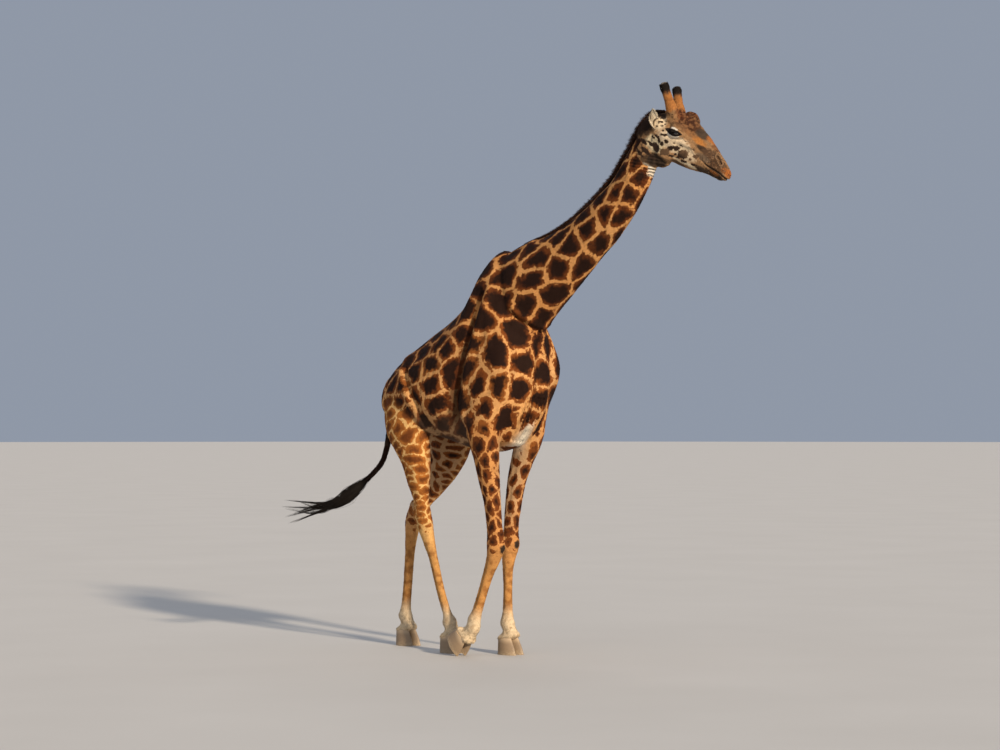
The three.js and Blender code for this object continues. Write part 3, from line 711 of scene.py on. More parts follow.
# Base of the neck, breast and the loose skin between the forelegs.
neck_base = np.array([(300, -200, 2770), (345, -178, 2712), (420, -116, 2655), (455, 0, 2628)])
for flip in (1, -1):
    body.line(neck_base * (1, flip, 1), 20, -15)
    body.line(neck_base * (1, flip, 1) + (10, 0, 52), 30, 12)
    body.line(neck_base * (1, flip, 1) + (-10, 0, -60), 36, 7)
body.line([(445, 0, 2540), (435, 0, 2250), (390, 0, 1980), (300, 0, 1780)], 34, -18)
body.both("line", [(430, -80, 2440), (400, -120, 2200), (340, -120, 1960)], 60, 14)
for k in range(7):
    y = -75 + 25 * k
    body.line([(420 - abs(y), y, 2080), (350 - abs(y) * 0.5, y * 1.15, 1900), (240, y * 1.3, 1730)], 10, -15)
# Ribs, spine, withers, hip, flank and belly.
for k in range(8):
    x = -290 - 60 * k
    rib = [(x + 40, -330, 2560), (x - 5, -392, 2330), (x - 30, -420, 2080), (x, -390, 1880)]
    body.both("line", rib, 20, 3)
spine = [(60, 0, 3262), (-105, 0, 3155), (-240, 0, 2915), (-440, 0, 2755), (-880, 0, 2525), (-1180, 0, 2330)]
body.line(spine, 30, 7)
body.line([(120, 0, 3250), (200, 0, 3215), (290, 0, 3215), (400, 0, 3240)], 60, 26)
for k in range(6):
    body.spot((70 - 62 * k, 0, 3262 - 9 * k * k), (22, 40, 30), 4)
body.both("spot", (-905, -225, 2440), (75, 60, 65), 22)
body.both("spot", (-690, -300, 2470), (140, 90, 110), -20)
body.both("spot", (-1240, -85, 2170), (55, 50, 60), 15)
flank_fold = np.array([(-860, -300, 2330), (-745, -365, 2200), (-625, -385, 2040), (-560, -330, 1880),
                       (-500, -240, 1770)])
body.both("line", flank_fold + (35, 0, 0), 30, -32)
body.both("line", flank_fold + (-38, 0, 0), 42, 22)
body.both("line", [(-1100, -235, 2200), (-1040, -290, 1980), (-960, -300, 1780)], 30, -12)
body.both("line", [(-1180, -180, 2250), (-1150, -220, 2080), (-1080, -240, 1900)], 34, 8)
body.spot((-640, 0, 1765), (110, 45, 60), 24)
body.spot((-1120, 0, 1830), (80, 60, 60), 18)
# Neck: windpipe, jugular grooves and the bumps of the neck bones.
at, neck_s, neck_angle, neck_reach = neck.locate(co)
on_neck = smooth(1.25, 1.08, neck_reach) * smooth(0.35, 0.7, neck_s)
low_side = np.abs(neck_angle + math.pi / 2)
BONE_SPACING = 0.27
bones = 0.5 + 0.5 * np.cos(neck_s * TAU / BONE_SPACING)
# Height in mm, place round the neck from below and width there, in radians.
for size, place, wide in ((4, 0, 0.28), (-8, 0.62, 0.16), (5 * bones, 1.35, 0.3), (-4, 2.2, 0.2),
                          (15, math.pi, 0.22)):
    body.total += on_neck * MM * size * bell(low_side - place, wide)
body.total += on_neck * MM * 1.8 * noise(co, 0.09, 3)


PASTERN_WIDE = 58


def foot_side(a):
    """A step from the pastern's line to its skin, at an angle in degrees from one side over the front."""
    a = math.radians(a)
    return PASTERN_WIDE * np.array([math.sin(a) * math.cos(PASTERN_LEAN), math.cos(a), math.sin(a) * 0.45])


def sculpt_leg(name, fore):
    """Elbow or stifle, forearm or gaskin, knee or hock, tendons, fetlock and its folds."""
    leg = legs[name]
    side = 1 if name.endswith("left") else -1
    out, inn = (0, 180) if side > 0 else (180, 0)
    back, front = -90, 90

    def ang(base, turn):
        """An angle turned forwards from the outer or inner side, or backwards where turn is below 0."""
        return base + side * turn * (1 if base == out else -1)

    def mark(z, angle, width, height):
        body.spot(leg.on(z, angle) / MM, width, height)

    def run(z_list, angle, width, height):
        body.line([leg.on(z, angle) / MM for z in z_list], width, height)

    if fore:
        mark(1800, back, 60, 18)
        run((1640, 1450, 1250, 1080), ang(out, -22), 20, -8)
        run((1560, 1380, 1180), ang(out, 35), 30, 5)
        run((1600, 1400, 1150), ang(inn, 8), 18, -5)
        mark(905, front, (50, 60, 62), 8)
        mark(925, back, (26, 34, 44), 15)
        mark(905, out, (30, 30, 60), 5)
        mark(905, inn, (30, 30, 60), 5)
        for z, deep in ((985, 2.5), (958, 3.5), (932, 3), (868, 3.5), (846, 3), (822, 2)):
            body.line([leg.on(z + 6, angle) / MM for angle in (28, 60, 90, 120, 152)], 7, -deep)
        top, low = 770, 390
    else:
        mark(1770, front, (60, 80, 90), 12)
        run((1640, 1480, 1330, 1200), ang(out, -38), 24, -13)
        run((1640, 1480, 1330, 1200), ang(inn, -38), 24, -11)
        run((1620, 1450, 1300), ang(out, 28), 34, 6)
        mark(1150, back, (34, 32, 44), 20)
        run((1300, 1200, 1120), back, 22, 9)
        mark(1060, out, (44, 30, 60), 5)
        mark(1060, inn, (44, 30, 60), 6)
        for z, deep in ((1130, 2.5), (1105, 3), (1078, 3), (1040, 2)):
            body.line([leg.on(z, angle) / MM for angle in (40, 70, 90, 110, 140)], 8, -deep)
        top, low = 880, 370
    middle = (top + low) / 2
    for base in (out, inn):
        run((top, middle, low), ang(base, -26), 11, -9)
        run((top, middle, low), ang(base, -62), 12, 3)
    run((top, middle, low), front, 16, 2.5)
    foot = feet[name]
    for x, y, width, height in ((-58, 0, 34, 5), (-50, 34, 24, 3), (-50, -34, 24, 3), (52, 0, 30, 4)):
        body.spot(foot.place((x, y, -4)) / MM, width, height)

    def beside(share, off):
        """A place in mm off the pastern's line, at a share of its length."""
        return foot.place(foot.down * PASTERN_LENGTH * share + off) / MM

    for share, height in ((0.34, -3), (0.52, -3.5), (0.7, -2.5)):
        body.line([beside(share, foot_side(a)) for a in range(0, 181, 30)], 7, height)
    body.line([beside(share, (PASTERN_WIDE, 0, 20)) for share in (0.7, 0.95, 1.2)], 9, -7)


for leg_name in LEGS:
    sculpt_leg(leg_name, leg_name.startswith("fore"))

co = co + normal * body.total[:, None]
normal = normals_of(co, tris)


# ---------------------------------------------------------------- the face

MOUTH = np.array([(575, 56), (610, 50), (650, 50), (690, 53), (730, 52), (765, 46), (810, 40)]) * MM


def off_mouth(p):
    """Height off the mouth's line, for points in the head's frame."""
    return np.abs(p[:, 2] - np.interp(p[:, 0], *MOUTH.T))


def throat_phase(p):
    """Phase of the folds and bars across the throat, for points in the head's frame in mm."""
    return (p[:, 0] * 0.42 - p[:, 2]) / 13.5 * math.pi


def head_moves(local):
    """Moves along the normal on the head, in metres. Marks are placed in its own frame, in mm, with y from
    its middle plane, and are put on the skin first."""
    p = local.copy()
    p[:, 1] = np.abs(p[:, 1])
    face = Sculpt(p)
    # Cheek bone, facial crest, jaw edge, hollows of the temple and the cheek.
    face.line([(190, 116, 60), (270, 118, 72), (350, 98, 92), (430, 82, 100)], 17, 7)
    face.line([(345, 100, 60), (430, 82, 62), (520, 66, 66)], 24, -7)
    face.line([(150, 104, -60), (230, 96, -88), (330, 66, -84)], 20, 6)
    face.line([(330, 76, -40), (350, 82, 10), (345, 90, 50)], 16, -6)
    face.spot((190, 108, 158), (34, 20, 28), -10)
    face.spot((212, 100, 10), (56, 26, 60), 7)
    face.line([(100, 100, 40), (120, 104, -20), (140, 100, -80)], 15, -9)
    # Brow, nose bridge and the bony knobs of an old bull.
    face.line([(235, 108, 196), (285, 116, 192), (335, 96, 196)], 18, 9)
    face.line([(350, 42, 278), (430, 38, 256), (540, 34, 216), (620, 30, 186)], 14, 5)
    face.line([(350, 76, 200), (440, 66, 190), (560, 52, 160)], 22, -7)
    for at, width, height in (
        ((250, 40, 292), 18, 7), ((322, 26, 306), 16, 6), ((352, 0, 296), 20, 7), ((232, 66, 268), 18, 6),
        ((290, 70, 246), 20, 7), ((400, 22, 268), 15, 4), ((205, 20, 292), 22, 6), ((300, 0, 330), 26, 7),
        ((262, 88, 216), 15, 5), ((330, 58, 262), 14, 5), ((226, 92, 236), 13, 4),
    ):
        face.spot(at, width, height)
    # Veins and the tear line.
    face.line([(352, 100, 128), (400, 84, 112), (450, 74, 84), (500, 66, 60)], 5, 2.2)
    face.line([(420, 82, 96), (470, 66, 128), (520, 56, 150)], 4, 1.7)
    face.line([(345, 104, 140), (372, 92, 130), (400, 86, 124)], 6, -3)
    # Lips: the mouth's line, the full upper lip with its groove, and the chin.
    d = off_mouth(p)
    ahead = smooth(0.572, 0.60, p[:, 0])
    face.total += ahead * (-0.0095 * bell(d, 0.0045) + 0.0036 * bell(d - 0.014, 0.008))
    face.line([(556, 62, 60), (574, 60, 55), (588, 59, 52)], 7, -4)
    face.spot((764, 34, 84), (36, 22, 26), 8)
    face.line([(790, 0, 110), (806, 0, 84), (800, 0, 56)], 5, -6)
    face.spot((650, 0, -6), (40, 34, 22), 6)
    for k in range(6):
        x = 590 + 28 * k
        face.line([(x, 56, 100 - 6 * k), (x + 16, 54, 66 - 3 * k)], 4, -1.5)
    for k in range(4):
        face.line([(548 - 9 * k, 60, 74 - 5 * k), (560 - 9 * k, 62, 40 - 8 * k)], 4, -1.6)
    # Nostrils: a slanted slit with a raised wing round it.
    d = line_distance(p, [face.on_skin(at / MM) for at in NOSTRILS[1]])
    face.total += -0.015 * bell(d, 0.0065) + 0.0052 * bell(d - 0.0170, 0.0075)
    # Folds where the throat bends.
    below = smooth(60, 110, -local[:, 2] / MM) * smooth(0.40, 0.26, p[:, 0]) * smooth(0.02, 0.12, p[:, 0])
    below = below * smooth(-0.31, -0.25, local[:, 2])
    face.total += below * 0.0022 * np.sin(throat_phase(p / MM)) * smooth(0.10, 0.06, p[:, 1])
    face.total += 0.0012 * noise(local, 0.022, 1) + 0.0007 * noise(local, 0.009, 2)
    return face.total


local = to_head(co)
head_mask = smooth(-0.06, 0.05, local[:, 0] + 0.2 * local[:, 2]) * (co[:, 2] > 3.2)
picked = np.flatnonzero(head_mask > 0)
co[picked] += normal[picked] * (head_moves(local[picked]) * head_mask[picked])[:, None]


# ---------------------------------------------------------------- eyes and lids

# Half length of the opening, and its half height above and below, in metres.
OPEN_LONG, OPEN_HIGH, OPEN_LOW = 0.0345, 0.0185, 0.0185 * 0.82
LID = 0.0042


def eye_frame(side):
    """Along the slit towards the nose, up, and out of the head, in the head's frame."""
    out = unit(np.array([0.26, side * 0.96, 0.02]))
    tilt = math.radians(15)
    along = np.array([math.cos(tilt), 0, math.sin(tilt)])
    along = unit(along - out * (along @ out))
    up = np.cross(out, along) * side
    return np.array([along, up if up[2] > 0 else -up, out])


def opening(u, above):
    """Half height of the opening at a place along it: a lens, rounder above than below."""
    high = np.where(above, OPEN_HIGH, OPEN_LOW)
    return high * np.maximum(1 - np.clip(np.abs(u) / OPEN_LONG, 0, 1) ** 1.9, 0) ** 0.80


def slit(u, v):
    """Below 1 inside the opening, with drawn-out corners."""
    past_corner = np.where(np.abs(u) > OPEN_LONG, np.abs(u) / OPEN_LONG, 0)
    return np.hypot(past_corner, np.abs(v) / np.maximum(opening(u, v > 0), 0.0012))


def round_eye(co, side):
    """Points round one eye, with their places along and up from its middle."""
    p = (to_head(co) - EYES[side]) @ eye_frame(side).T
    i = np.flatnonzero((p[:, 2] > -0.095) & (np.linalg.norm(p, axis=1) < 0.15))
    return i, p[i, 0], p[i, 1]


def set_lids(co, side):
    """Shapes the opening, the lids' rims and the folds round them. Returns the points there, and how far
    away from the opening's middle each is."""
    axes = eye_frame(side)
    p = (to_head(co) - EYES[side]) @ axes.T
    r = EYE_RADIUS * MM
    reach = np.hypot(p[:, 0] / (OPEN_LONG * 1.15), p[:, 1] / (OPEN_HIGH * 1.9))
    i = np.flatnonzero((reach < 2.4) & (p[:, 2] > -0.02) & (np.linalg.norm(p, axis=1) < 0.095))
    u, v, w = p[i].T
    f = slit(u, v)
    radial = np.hypot(u, v)
    dome = np.sqrt(np.maximum((r + LID) ** 2 - np.minimum(radial, r * 0.94) ** 2, 0))
    away = np.hypot(u / OPEN_LONG, v / OPEN_HIGH)
    lid_z = dome + 0.0016 * bell(f - 1.25, 0.3)
    fold = 0.0030 * bell(away - 1.62, 0.17) * np.where(v > 0, 1, 0.6)
    pouch = 0.0022 * bell(away - 2.1, 0.3)
    blend = smooth(2.35, 1.35, away)
    target = w * (1 - blend) + (lid_z - 0.001) * blend - fold * smooth(1.2, 1.4, away) + pouch
    inside = f < 1
    sunk = np.sqrt(np.maximum((r - 0.0055) ** 2 - radial**2, 0))
    w_new = np.where(inside, sunk, target)
    near_rim = (f > 0.72) & (f < 1.4) & (np.abs(u) < OPEN_LONG * 0.97)
    snapped = np.sign(v) * opening(u, v > 0) * np.where(inside, 0.985, 1.015)
    v_new = np.where(near_rim, v * 0.25 + snapped * 0.75, v)
    co[i] = from_head(np.stack([u, v_new, w_new], 1) @ axes + EYES[side])
    return i, away


lid_marks = {side: set_lids(co, side) for side in (1, -1)}
normal = normals_of(co, tris)


# ---------------------------------------------------------------- ears

EAR_LEVELS, EAR_ARC = 34, 14


def ear_axes(side):
    """Root, length, way up the ear, way that its cup opens and way across it, in the head's frame, in mm."""
    root, tip = (np.array(at) * (1.0, side, 1) for at in (EAR_ROOT, EAR_TIP))
    up = unit(tip - root)
    front = np.array([math.cos(EAR_OUT), side * math.sin(EAR_OUT), 0])
    front = unit(front - up * (front @ up))
    return root, np.linalg.norm(tip - root), up, front, np.cross(up, front)


def ear_shape(side):
    """A leaf-shaped cup, open forwards and outwards, with a rolled edge near its root."""
    root, length, up, front, across = ear_axes(side)
    rings = []
    for i in range(EAR_LEVELS + 1):
        t = i / EAR_LEVELS
        leaf = math.sin(math.pi * (0.2 + 0.8 * t) ** 1.15) ** 0.8 if t < 1 else 0.0
        wide = max(EAR_WIDE * leaf - 1.5, 2.2)
        cup = max(EAR_CUP * leaf - 1.5, 1.6)
        shell = (EAR_SHELL * (1 - 0.55 * t) * (1 + 1.4 * max(0, 0.28 - t))) * min(1, 6 * (1.02 - t))
        centre = root + up * length * t * 0.995 - front * EAR_CUP * 0.5 * math.sin(math.pi * t)
        wave = 0.36 * math.sin(9 * t)
        outside, inside = [], []
        for k in range(EAR_ARC + 1):
            a = math.pi * (k / EAR_ARC - 0.5)
            rib = 0.9 * math.cos(5 * a) * (1 - t)
            outside.append(centre + across * wide * math.sin(a) + front * (wave - cup * math.cos(a)))
            inside.append(centre + across * (wide - shell * 0.5) * math.sin(a)
                          - front * (cup * math.cos(a) - shell * 0.9 - rib))
        rings.append(outside + inside[::-1])
    ear_co, ear_tris = skin_rings(np.array(rings) * MM)
    inner = (np.arange(len(ear_co)) % len(rings[0])) > EAR_ARC
    inner[-2:] = False  # the two middles at the ends
    return from_head(ear_co), ear_tris, inner


ear_parts = {side: ear_shape(side) for side in (1, -1)}


# ---------------------------------------------------------------- the lie of the coat and its markings

LIMBS = [trunk, neck, tail, *legs.values(), skull]
NAMES = [limb.name for limb in LIMBS]


def places(p):
    """For every point: the limb that it is on, arc length and angle there."""
    found = []
    for limb in LIMBS:
        q = to_head(p) if limb is skull else p
        found.append(limb.locate(q))
    reach = np.stack([f[3] for f in found])
    reach[NAMES.index("head")] *= np.where(to_head(p)[:, 0] > 0.05, 0.55, 0.9)
    reach[NAMES.index("head")] += 9 * (p[:, 2] < 3.2)
    reach[NAMES.index("trunk")] += 9 * (p[:, 2] < 1.5)
    which = np.argmin(reach, axis=0)
    rows = np.arange(len(p))
    pick = [np.stack([f[k] for f in found])[which, rows] for k in range(3)]
    return which, pick[0].astype(int), pick[1], pick[2]


which, section, arc_len, around = places(co)
along, flow = np.zeros_like(co), np.zeros_like(co)
for k, limb in enumerate(LIMBS):
    m = which == k
    t = limb.t[section[m]]
    along[m] = t @ HEAD_TURN.T if limb is skull else t
    if limb is skull:
        q = to_head(co[m])
        top = smooth(0.16, 0.24, q[:, 2])[:, None]
        flow[m] = (top * (0.9, 0, -0.3) + (1 - top) * (-0.35, 0, -0.9)) @ HEAD_TURN.T
    elif limb is trunk:
        flow[m] = (-0.72, 0, -0.62)
    elif limb is neck:
        flow[m] = -along[m] + (0, 0, -0.35)
    else:
        flow[m] = along[m]
for _ in range(FLOW_PASSES):
    flow = 0.3 * flow + 0.7 * web.mean(flow)
flow = unit(flow - normal * dot(flow, normal)[:, None])

# Masks over the body, from 0 to 1.
is_leg = {name: which == NAMES.index(name) for name in LEGS}
fore = is_leg["foreleg_right"] | is_leg["foreleg_left"]
hind = is_leg["hindleg_right"] | is_leg["hindleg_left"]
on_trunk = which == NAMES.index("trunk")
on_neck_limb = which == NAMES.index("neck")
on_head = which == NAMES.index("head")
on_tail = which == NAMES.index("tail")
height = co[:, 2]
side_out = np.where(co[:, 1] < 0, -1, 1) * normal[:, 1]
crest = on_neck_limb * bell(around - math.pi / 2, 0.55)
trunk_top = on_trunk * smooth(0.05, 0.95, np.sin(around))
trunk_low = on_trunk * smooth(-0.35, -0.95, np.sin(around)) * smooth(0.12, -0.08, co[:, 0])
thigh = hind * smooth(2.32, 2.12, height)
shin = np.where(fore, smooth(0.93, 0.70, height), np.where(hind, smooth(1.10, 0.78, height), 0))
pale_foot = (fore | hind) * smooth(0.43, 0.27, height)
inner_leg = (fore | hind) * smooth(0.15, -0.55, side_out) * smooth(0.9, 1.3, height)
apart = np.abs(co[:, 1])
breast = smooth(0.105, 0.03, apart + 0.25 * np.maximum(height - 1.75, 0)) * smooth(1.98, 1.86, height)
breast = breast * smooth(0.0, 0.20, co[:, 0]) * smooth(1.50, 1.60, height)
between = (fore | on_trunk) * smooth(0.0, -0.6, side_out) * smooth(0.17, 0.12, apart)
between = between * smooth(-0.1, 0.1, co[:, 0])
breast = np.maximum(breast, between * smooth(1.90, 1.78, height) * smooth(1.50, 1.68, height))
masks = np.stack([trunk_top, trunk_low, thigh, shin, inner_leg, breast, crest], 1).astype(float)
for _ in range(MASK_PASSES):
    masks = web.mean(masks)
trunk_top, trunk_low, thigh, shin, inner_leg, breast, crest = masks.T
head_soft = web.mean(on_head.astype(float))


def cell_sizes(i):
    """Spacing of the patches along and across the lie of the body at skin point i, in metres."""
    name, z = NAMES[which[i]], height[i]
    if name == "neck":
        s = arc_len[i]
        long = float(np.interp(s, [0, 0.6, 1.2, 2.2], [0.235, 0.235, 0.215, 0.16]))
        wide = float(np.interp(s, [0, 0.6, 1.2, 2.2], [0.20, 0.17, 0.142, 0.105]))
        c = crest[i]
        return long * (1 + 0.15 * c), wide * (1 - 0.62 * c)
    if name == "head":
        return 0.09, 0.08
    if name == "tail":
        return 0.12, 0.09
    if name == "trunk":
        base = 0.205 - 0.03 * trunk_top[i] - 0.03 * smooth(-0.5, -0.9, co[i, 0])
        base += 0.035 * smooth(-0.10, 0.10, co[i, 0]) * smooth(3.0, 2.7, z)
        return base * 1.12, base * 0.86
    if name.startswith("fore"):
        s = float(np.interp(z, [0.9, 1.2, 1.6, 2.0, 2.35], [0.078, 0.088, 0.110, 0.175, 0.245]))
        return s * 1.12, s * 0.92
    return (float(np.interp(z, [0.9, 1.3, 1.7, 2.1], [0.046, 0.052, 0.076, 0.128])),
            float(np.interp(z, [0.9, 1.3, 1.7, 2.1], [0.075, 0.118, 0.170, 0.190])))


SEED_TRIES, SEED_APART = 26000, 0.66


def patch_seeds():
    """Middles of the patches, spread so that none lies closer to another than their spacing."""
    order = draws(PATCH_DRAW).permutation(len(co))[:SEED_TRIES]
    order = order[~on_head[order]]
    kept = np.zeros((0, 3))
    data = []
    for i in order:
        long, wide = cell_sizes(i)
        p, n, t = co[i], normal[i], along[i]
        if len(kept):
            v = kept[: len(data)] - p
            a = v @ t
            far = (a / long) ** 2 + (dot(v, v) - a * a) / wide**2
            if far.min() < SEED_APART:
                continue
        data.append((p, n, t, long, wide))
        kept = np.vstack([kept, p])
    return data


# Place, normal, way along the limb, length and width of each patch.
seed_p, seed_n, seed_t, seed_l, seed_w = (np.array(values) for values in zip(*patch_seeds()))
seed_hue = draws(HUE_DRAW).random(len(seed_p))
BATCH = 20000


def cells(p, n):
    """Distances of the nearest and second nearest patch in their own stretched measure, and the nearest's
    number."""
    first, second, who = np.zeros(len(p)), np.zeros(len(p)), np.zeros(len(p), int)
    for start in range(0, len(p), BATCH):
        part = slice(start, start + BATCH)
        q, m = p[part], n[part]
        v = q[:, None] - seed_p[None]
        sq = np.einsum("ijk,ijk->ij", v, v)
        a = np.einsum("ijk,jk->ij", v, seed_t)
        far = np.sqrt(a * a / seed_l**2 + np.maximum(sq - a * a, 0) / seed_w**2 + 0.6 * (1 - m @ seed_n.T))
        two = np.argpartition(far, 2, axis=1)[:, :2]
        rows = np.arange(len(q))[:, None]
        pair = far[rows, two]
        turn = np.argsort(pair, axis=1)
        pair, two = np.take_along_axis(pair, turn, 1), np.take_along_axis(two, turn, 1)
        first[part], second[part] = pair.T
        who[part] = two[:, 0]
    return first, second, who


warp = np.stack([noise(co, 0.16, seed) for seed in (11, 12, 13)], 1) * 0.030
warp += np.stack([noise(co, 0.055, seed) for seed in (14, 15, 16)], 1) * 0.013
warp *= np.clip(seed_w.mean() / 0.16, 0.6, 1)
first, second, who = cells(co + warp * (1 - 0.5 * shin[:, None]), normal)
size = (seed_l[who] + seed_w[who]) / 2
border = (second - first) / 2 * size
line_half = 0.0092 - 0.0030 * trunk_top - 0.0025 * crest + 0.0010 * fore + 0.0028 * noise(co, 0.25, 21)
line_half = line_half * (1 - 0.30 * thigh - 0.22 * fore * smooth(2.0, 1.7, height))
body_lines = (on_trunk | fore) * smooth(1.9, 2.2, height)
line_half = line_half * np.clip(size / 0.16, 0.62, 1.15) * (1 - 0.34 * body_lines)
# Spurs of the line colour cut into each patch from its rim, so that it looks like a leaf.
spur = bell(noise(co, 0.100, 25), 0.060) + 0.45 * bell(noise(co, 0.055, 26), 0.06)
spur_strength = 0.058 * (1 - 0.5 * on_neck_limb) * (1 - 0.5 * thigh) * np.clip(size / 0.17, 0.25, 1.5) ** 1.3
spur_strength = spur_strength * (1 - 0.40 * body_lines)
edge = border - line_half - spur_strength * spur * np.exp(-border / (0.16 * size))
edge += (0.0045 * noise(co, 0.05, 22) + 0.0025 * noise(co, 0.024, 23)) * np.clip(size / 0.15, 0.5, 1)
edge -= 0.085 * shin * (0.85 + 0.15 * noise(co, 0.08, 24))
edge -= 0.09 * breast + 0.010 * inner_leg + 0.06 * pale_foot
hue = seed_hue[who]


# ---------------------------------------------------------------- colours over the skin

def plain(colour, count):
    """The same colour in so many rows."""
    return np.tile(np.asarray(colour, float), (count, 1))


def paint(base, colour, amount):
    """Rows of colour taken towards another colour by each row's own amount."""
    return base + (np.asarray(colour, float) - base) * np.clip(amount, 0, 1)[:, None]


line_col, patch_col, core_col = (plain(colour, len(co)) for colour in (TAWNY, RED_BROWN, NEAR_BLACK))
broad = noise(co, 0.35, 31)
line_col = paint(line_col, BUFF, 0.35 + 0.35 * broad)
line_col = paint(line_col, BUFF, 0.45 * (on_trunk | fore) * smooth(2.9, 2.2, height))
line_col = paint(line_col, (0.38, 0.145, 0.038), 0.75 * trunk_top + 0.65 * crest)
line_col = paint(line_col, (0.30, 0.20, 0.115), 0.85 * trunk_low)
patch_col = paint(patch_col, (0.30, 0.098, 0.020), 0.7 * smooth(0.5, 1, hue) * (1 - trunk_top))
patch_col = paint(patch_col, UMBER, 0.85 * trunk_top + 0.5 * crest + (0.45 + 0.4 * hue) * on_neck_limb)
patch_col = paint(patch_col, (0.13, 0.075, 0.042), 0.8 * trunk_low)
core_col = paint(core_col, (0.07, 0.040, 0.025), 0.85 * trunk_low)
# The thigh wears paler, warmer patches, and the legs' spots fade into plain tan below knee and hock.
warm = np.clip(thigh * smooth(-0.6, 0.25, side_out), 0, 1)
patch_col = paint(patch_col, ORANGE_BROWN, 0.85 * warm)
core_col = paint(core_col, (0.17, 0.048, 0.010), 0.8 * warm)
line_col = paint(line_col, (0.72, 0.44, 0.165), 0.85 * warm)
line_col = paint(line_col, (0.46, 0.215, 0.060), 0.8 * shin)
line_col = paint(line_col, (0.50, 0.215, 0.062), 0.75 * (fore & (height < 1.9)) * (1 - shin))
patch_col = paint(patch_col, (0.13, 0.034, 0.007), 0.7 * (fore & (height < 1.8)) * (1 - shin))
patch_col = paint(patch_col, (0.20, 0.066, 0.018), 0.8 * shin)
smudge = smooth(-0.15, 0.5, noise(co * (1, 1, 1.6), 0.062, 37) + 0.4 * noise(co, 0.025, 38)) * (fore | hind)
line_col = paint(line_col, (0.235, 0.088, 0.022), 0.72 * shin * smudge * (1 - pale_foot))
line_col = paint(line_col, (0.44, 0.28, 0.15), 0.8 * inner_leg)
line_col = paint(line_col, WHITE, 0.92 * breast)
line_col = paint(line_col, CREAM, 0.92 * pale_foot)
line_col = paint(line_col, (0.34, 0.20, 0.10), 0.45 * (height < 0.42) * smooth(0.42, 0.30, height)
                 * smooth(0.1, 0.7, noise(co, 0.03, 33)))
line_col = line_col * (1 + 0.12 * noise(co, 0.07, 34) + 0.07 * noise(co, 0.02, 35))[:, None]
# Tail: dark behind the rump, black at its end.
tail_dark = on_tail * smooth(0.05, 0.5, arc_len)
for _ in range(4):
    tail_dark = web.mean(tail_dark)
line_col = paint(line_col, (0.04, 0.022, 0.014), tail_dark)
patch_col = paint(patch_col, NEAR_BLACK, tail_dark)
# Painted shadow: the deep fold behind the right shoulder is darkened as if the shoulder's shadow lay in it.
fold_shadow_width = (32 + 66 * smooth(2.7, 1.95, height)) * MM
fold_shadow = line_distance(co[:, ::2], (shoulder_fold[1:, ::2] - (24, 0)) * MM) / fold_shadow_width
fold_shadow = smooth(1.0, 0.4, fold_shadow) * smooth(1.75, 2.0, height) * (co[:, 1] < -0.15)
# The painted shadow darkens lines and patches alike.
line_col = paint(line_col, (0.075, 0.032, 0.014), 0.9 * fold_shadow)
patch_col = paint(patch_col, UMBER, 0.9 * fold_shadow)
# Dark callus on the front of each knee.
for name in ("foreleg_right", "foreleg_left"):
    at_knee = legs[name].on(893, 90)
    d = np.linalg.norm((co - at_knee) / (0.034, 0.034, 0.040), axis=1) + 0.25 * noise(co, 0.02, 36)
    line_col = paint(line_col, (0.030, 0.019, 0.013), smooth(1.15, 0.7, d))
    edge = np.where(d < 1.3, -0.02, edge)

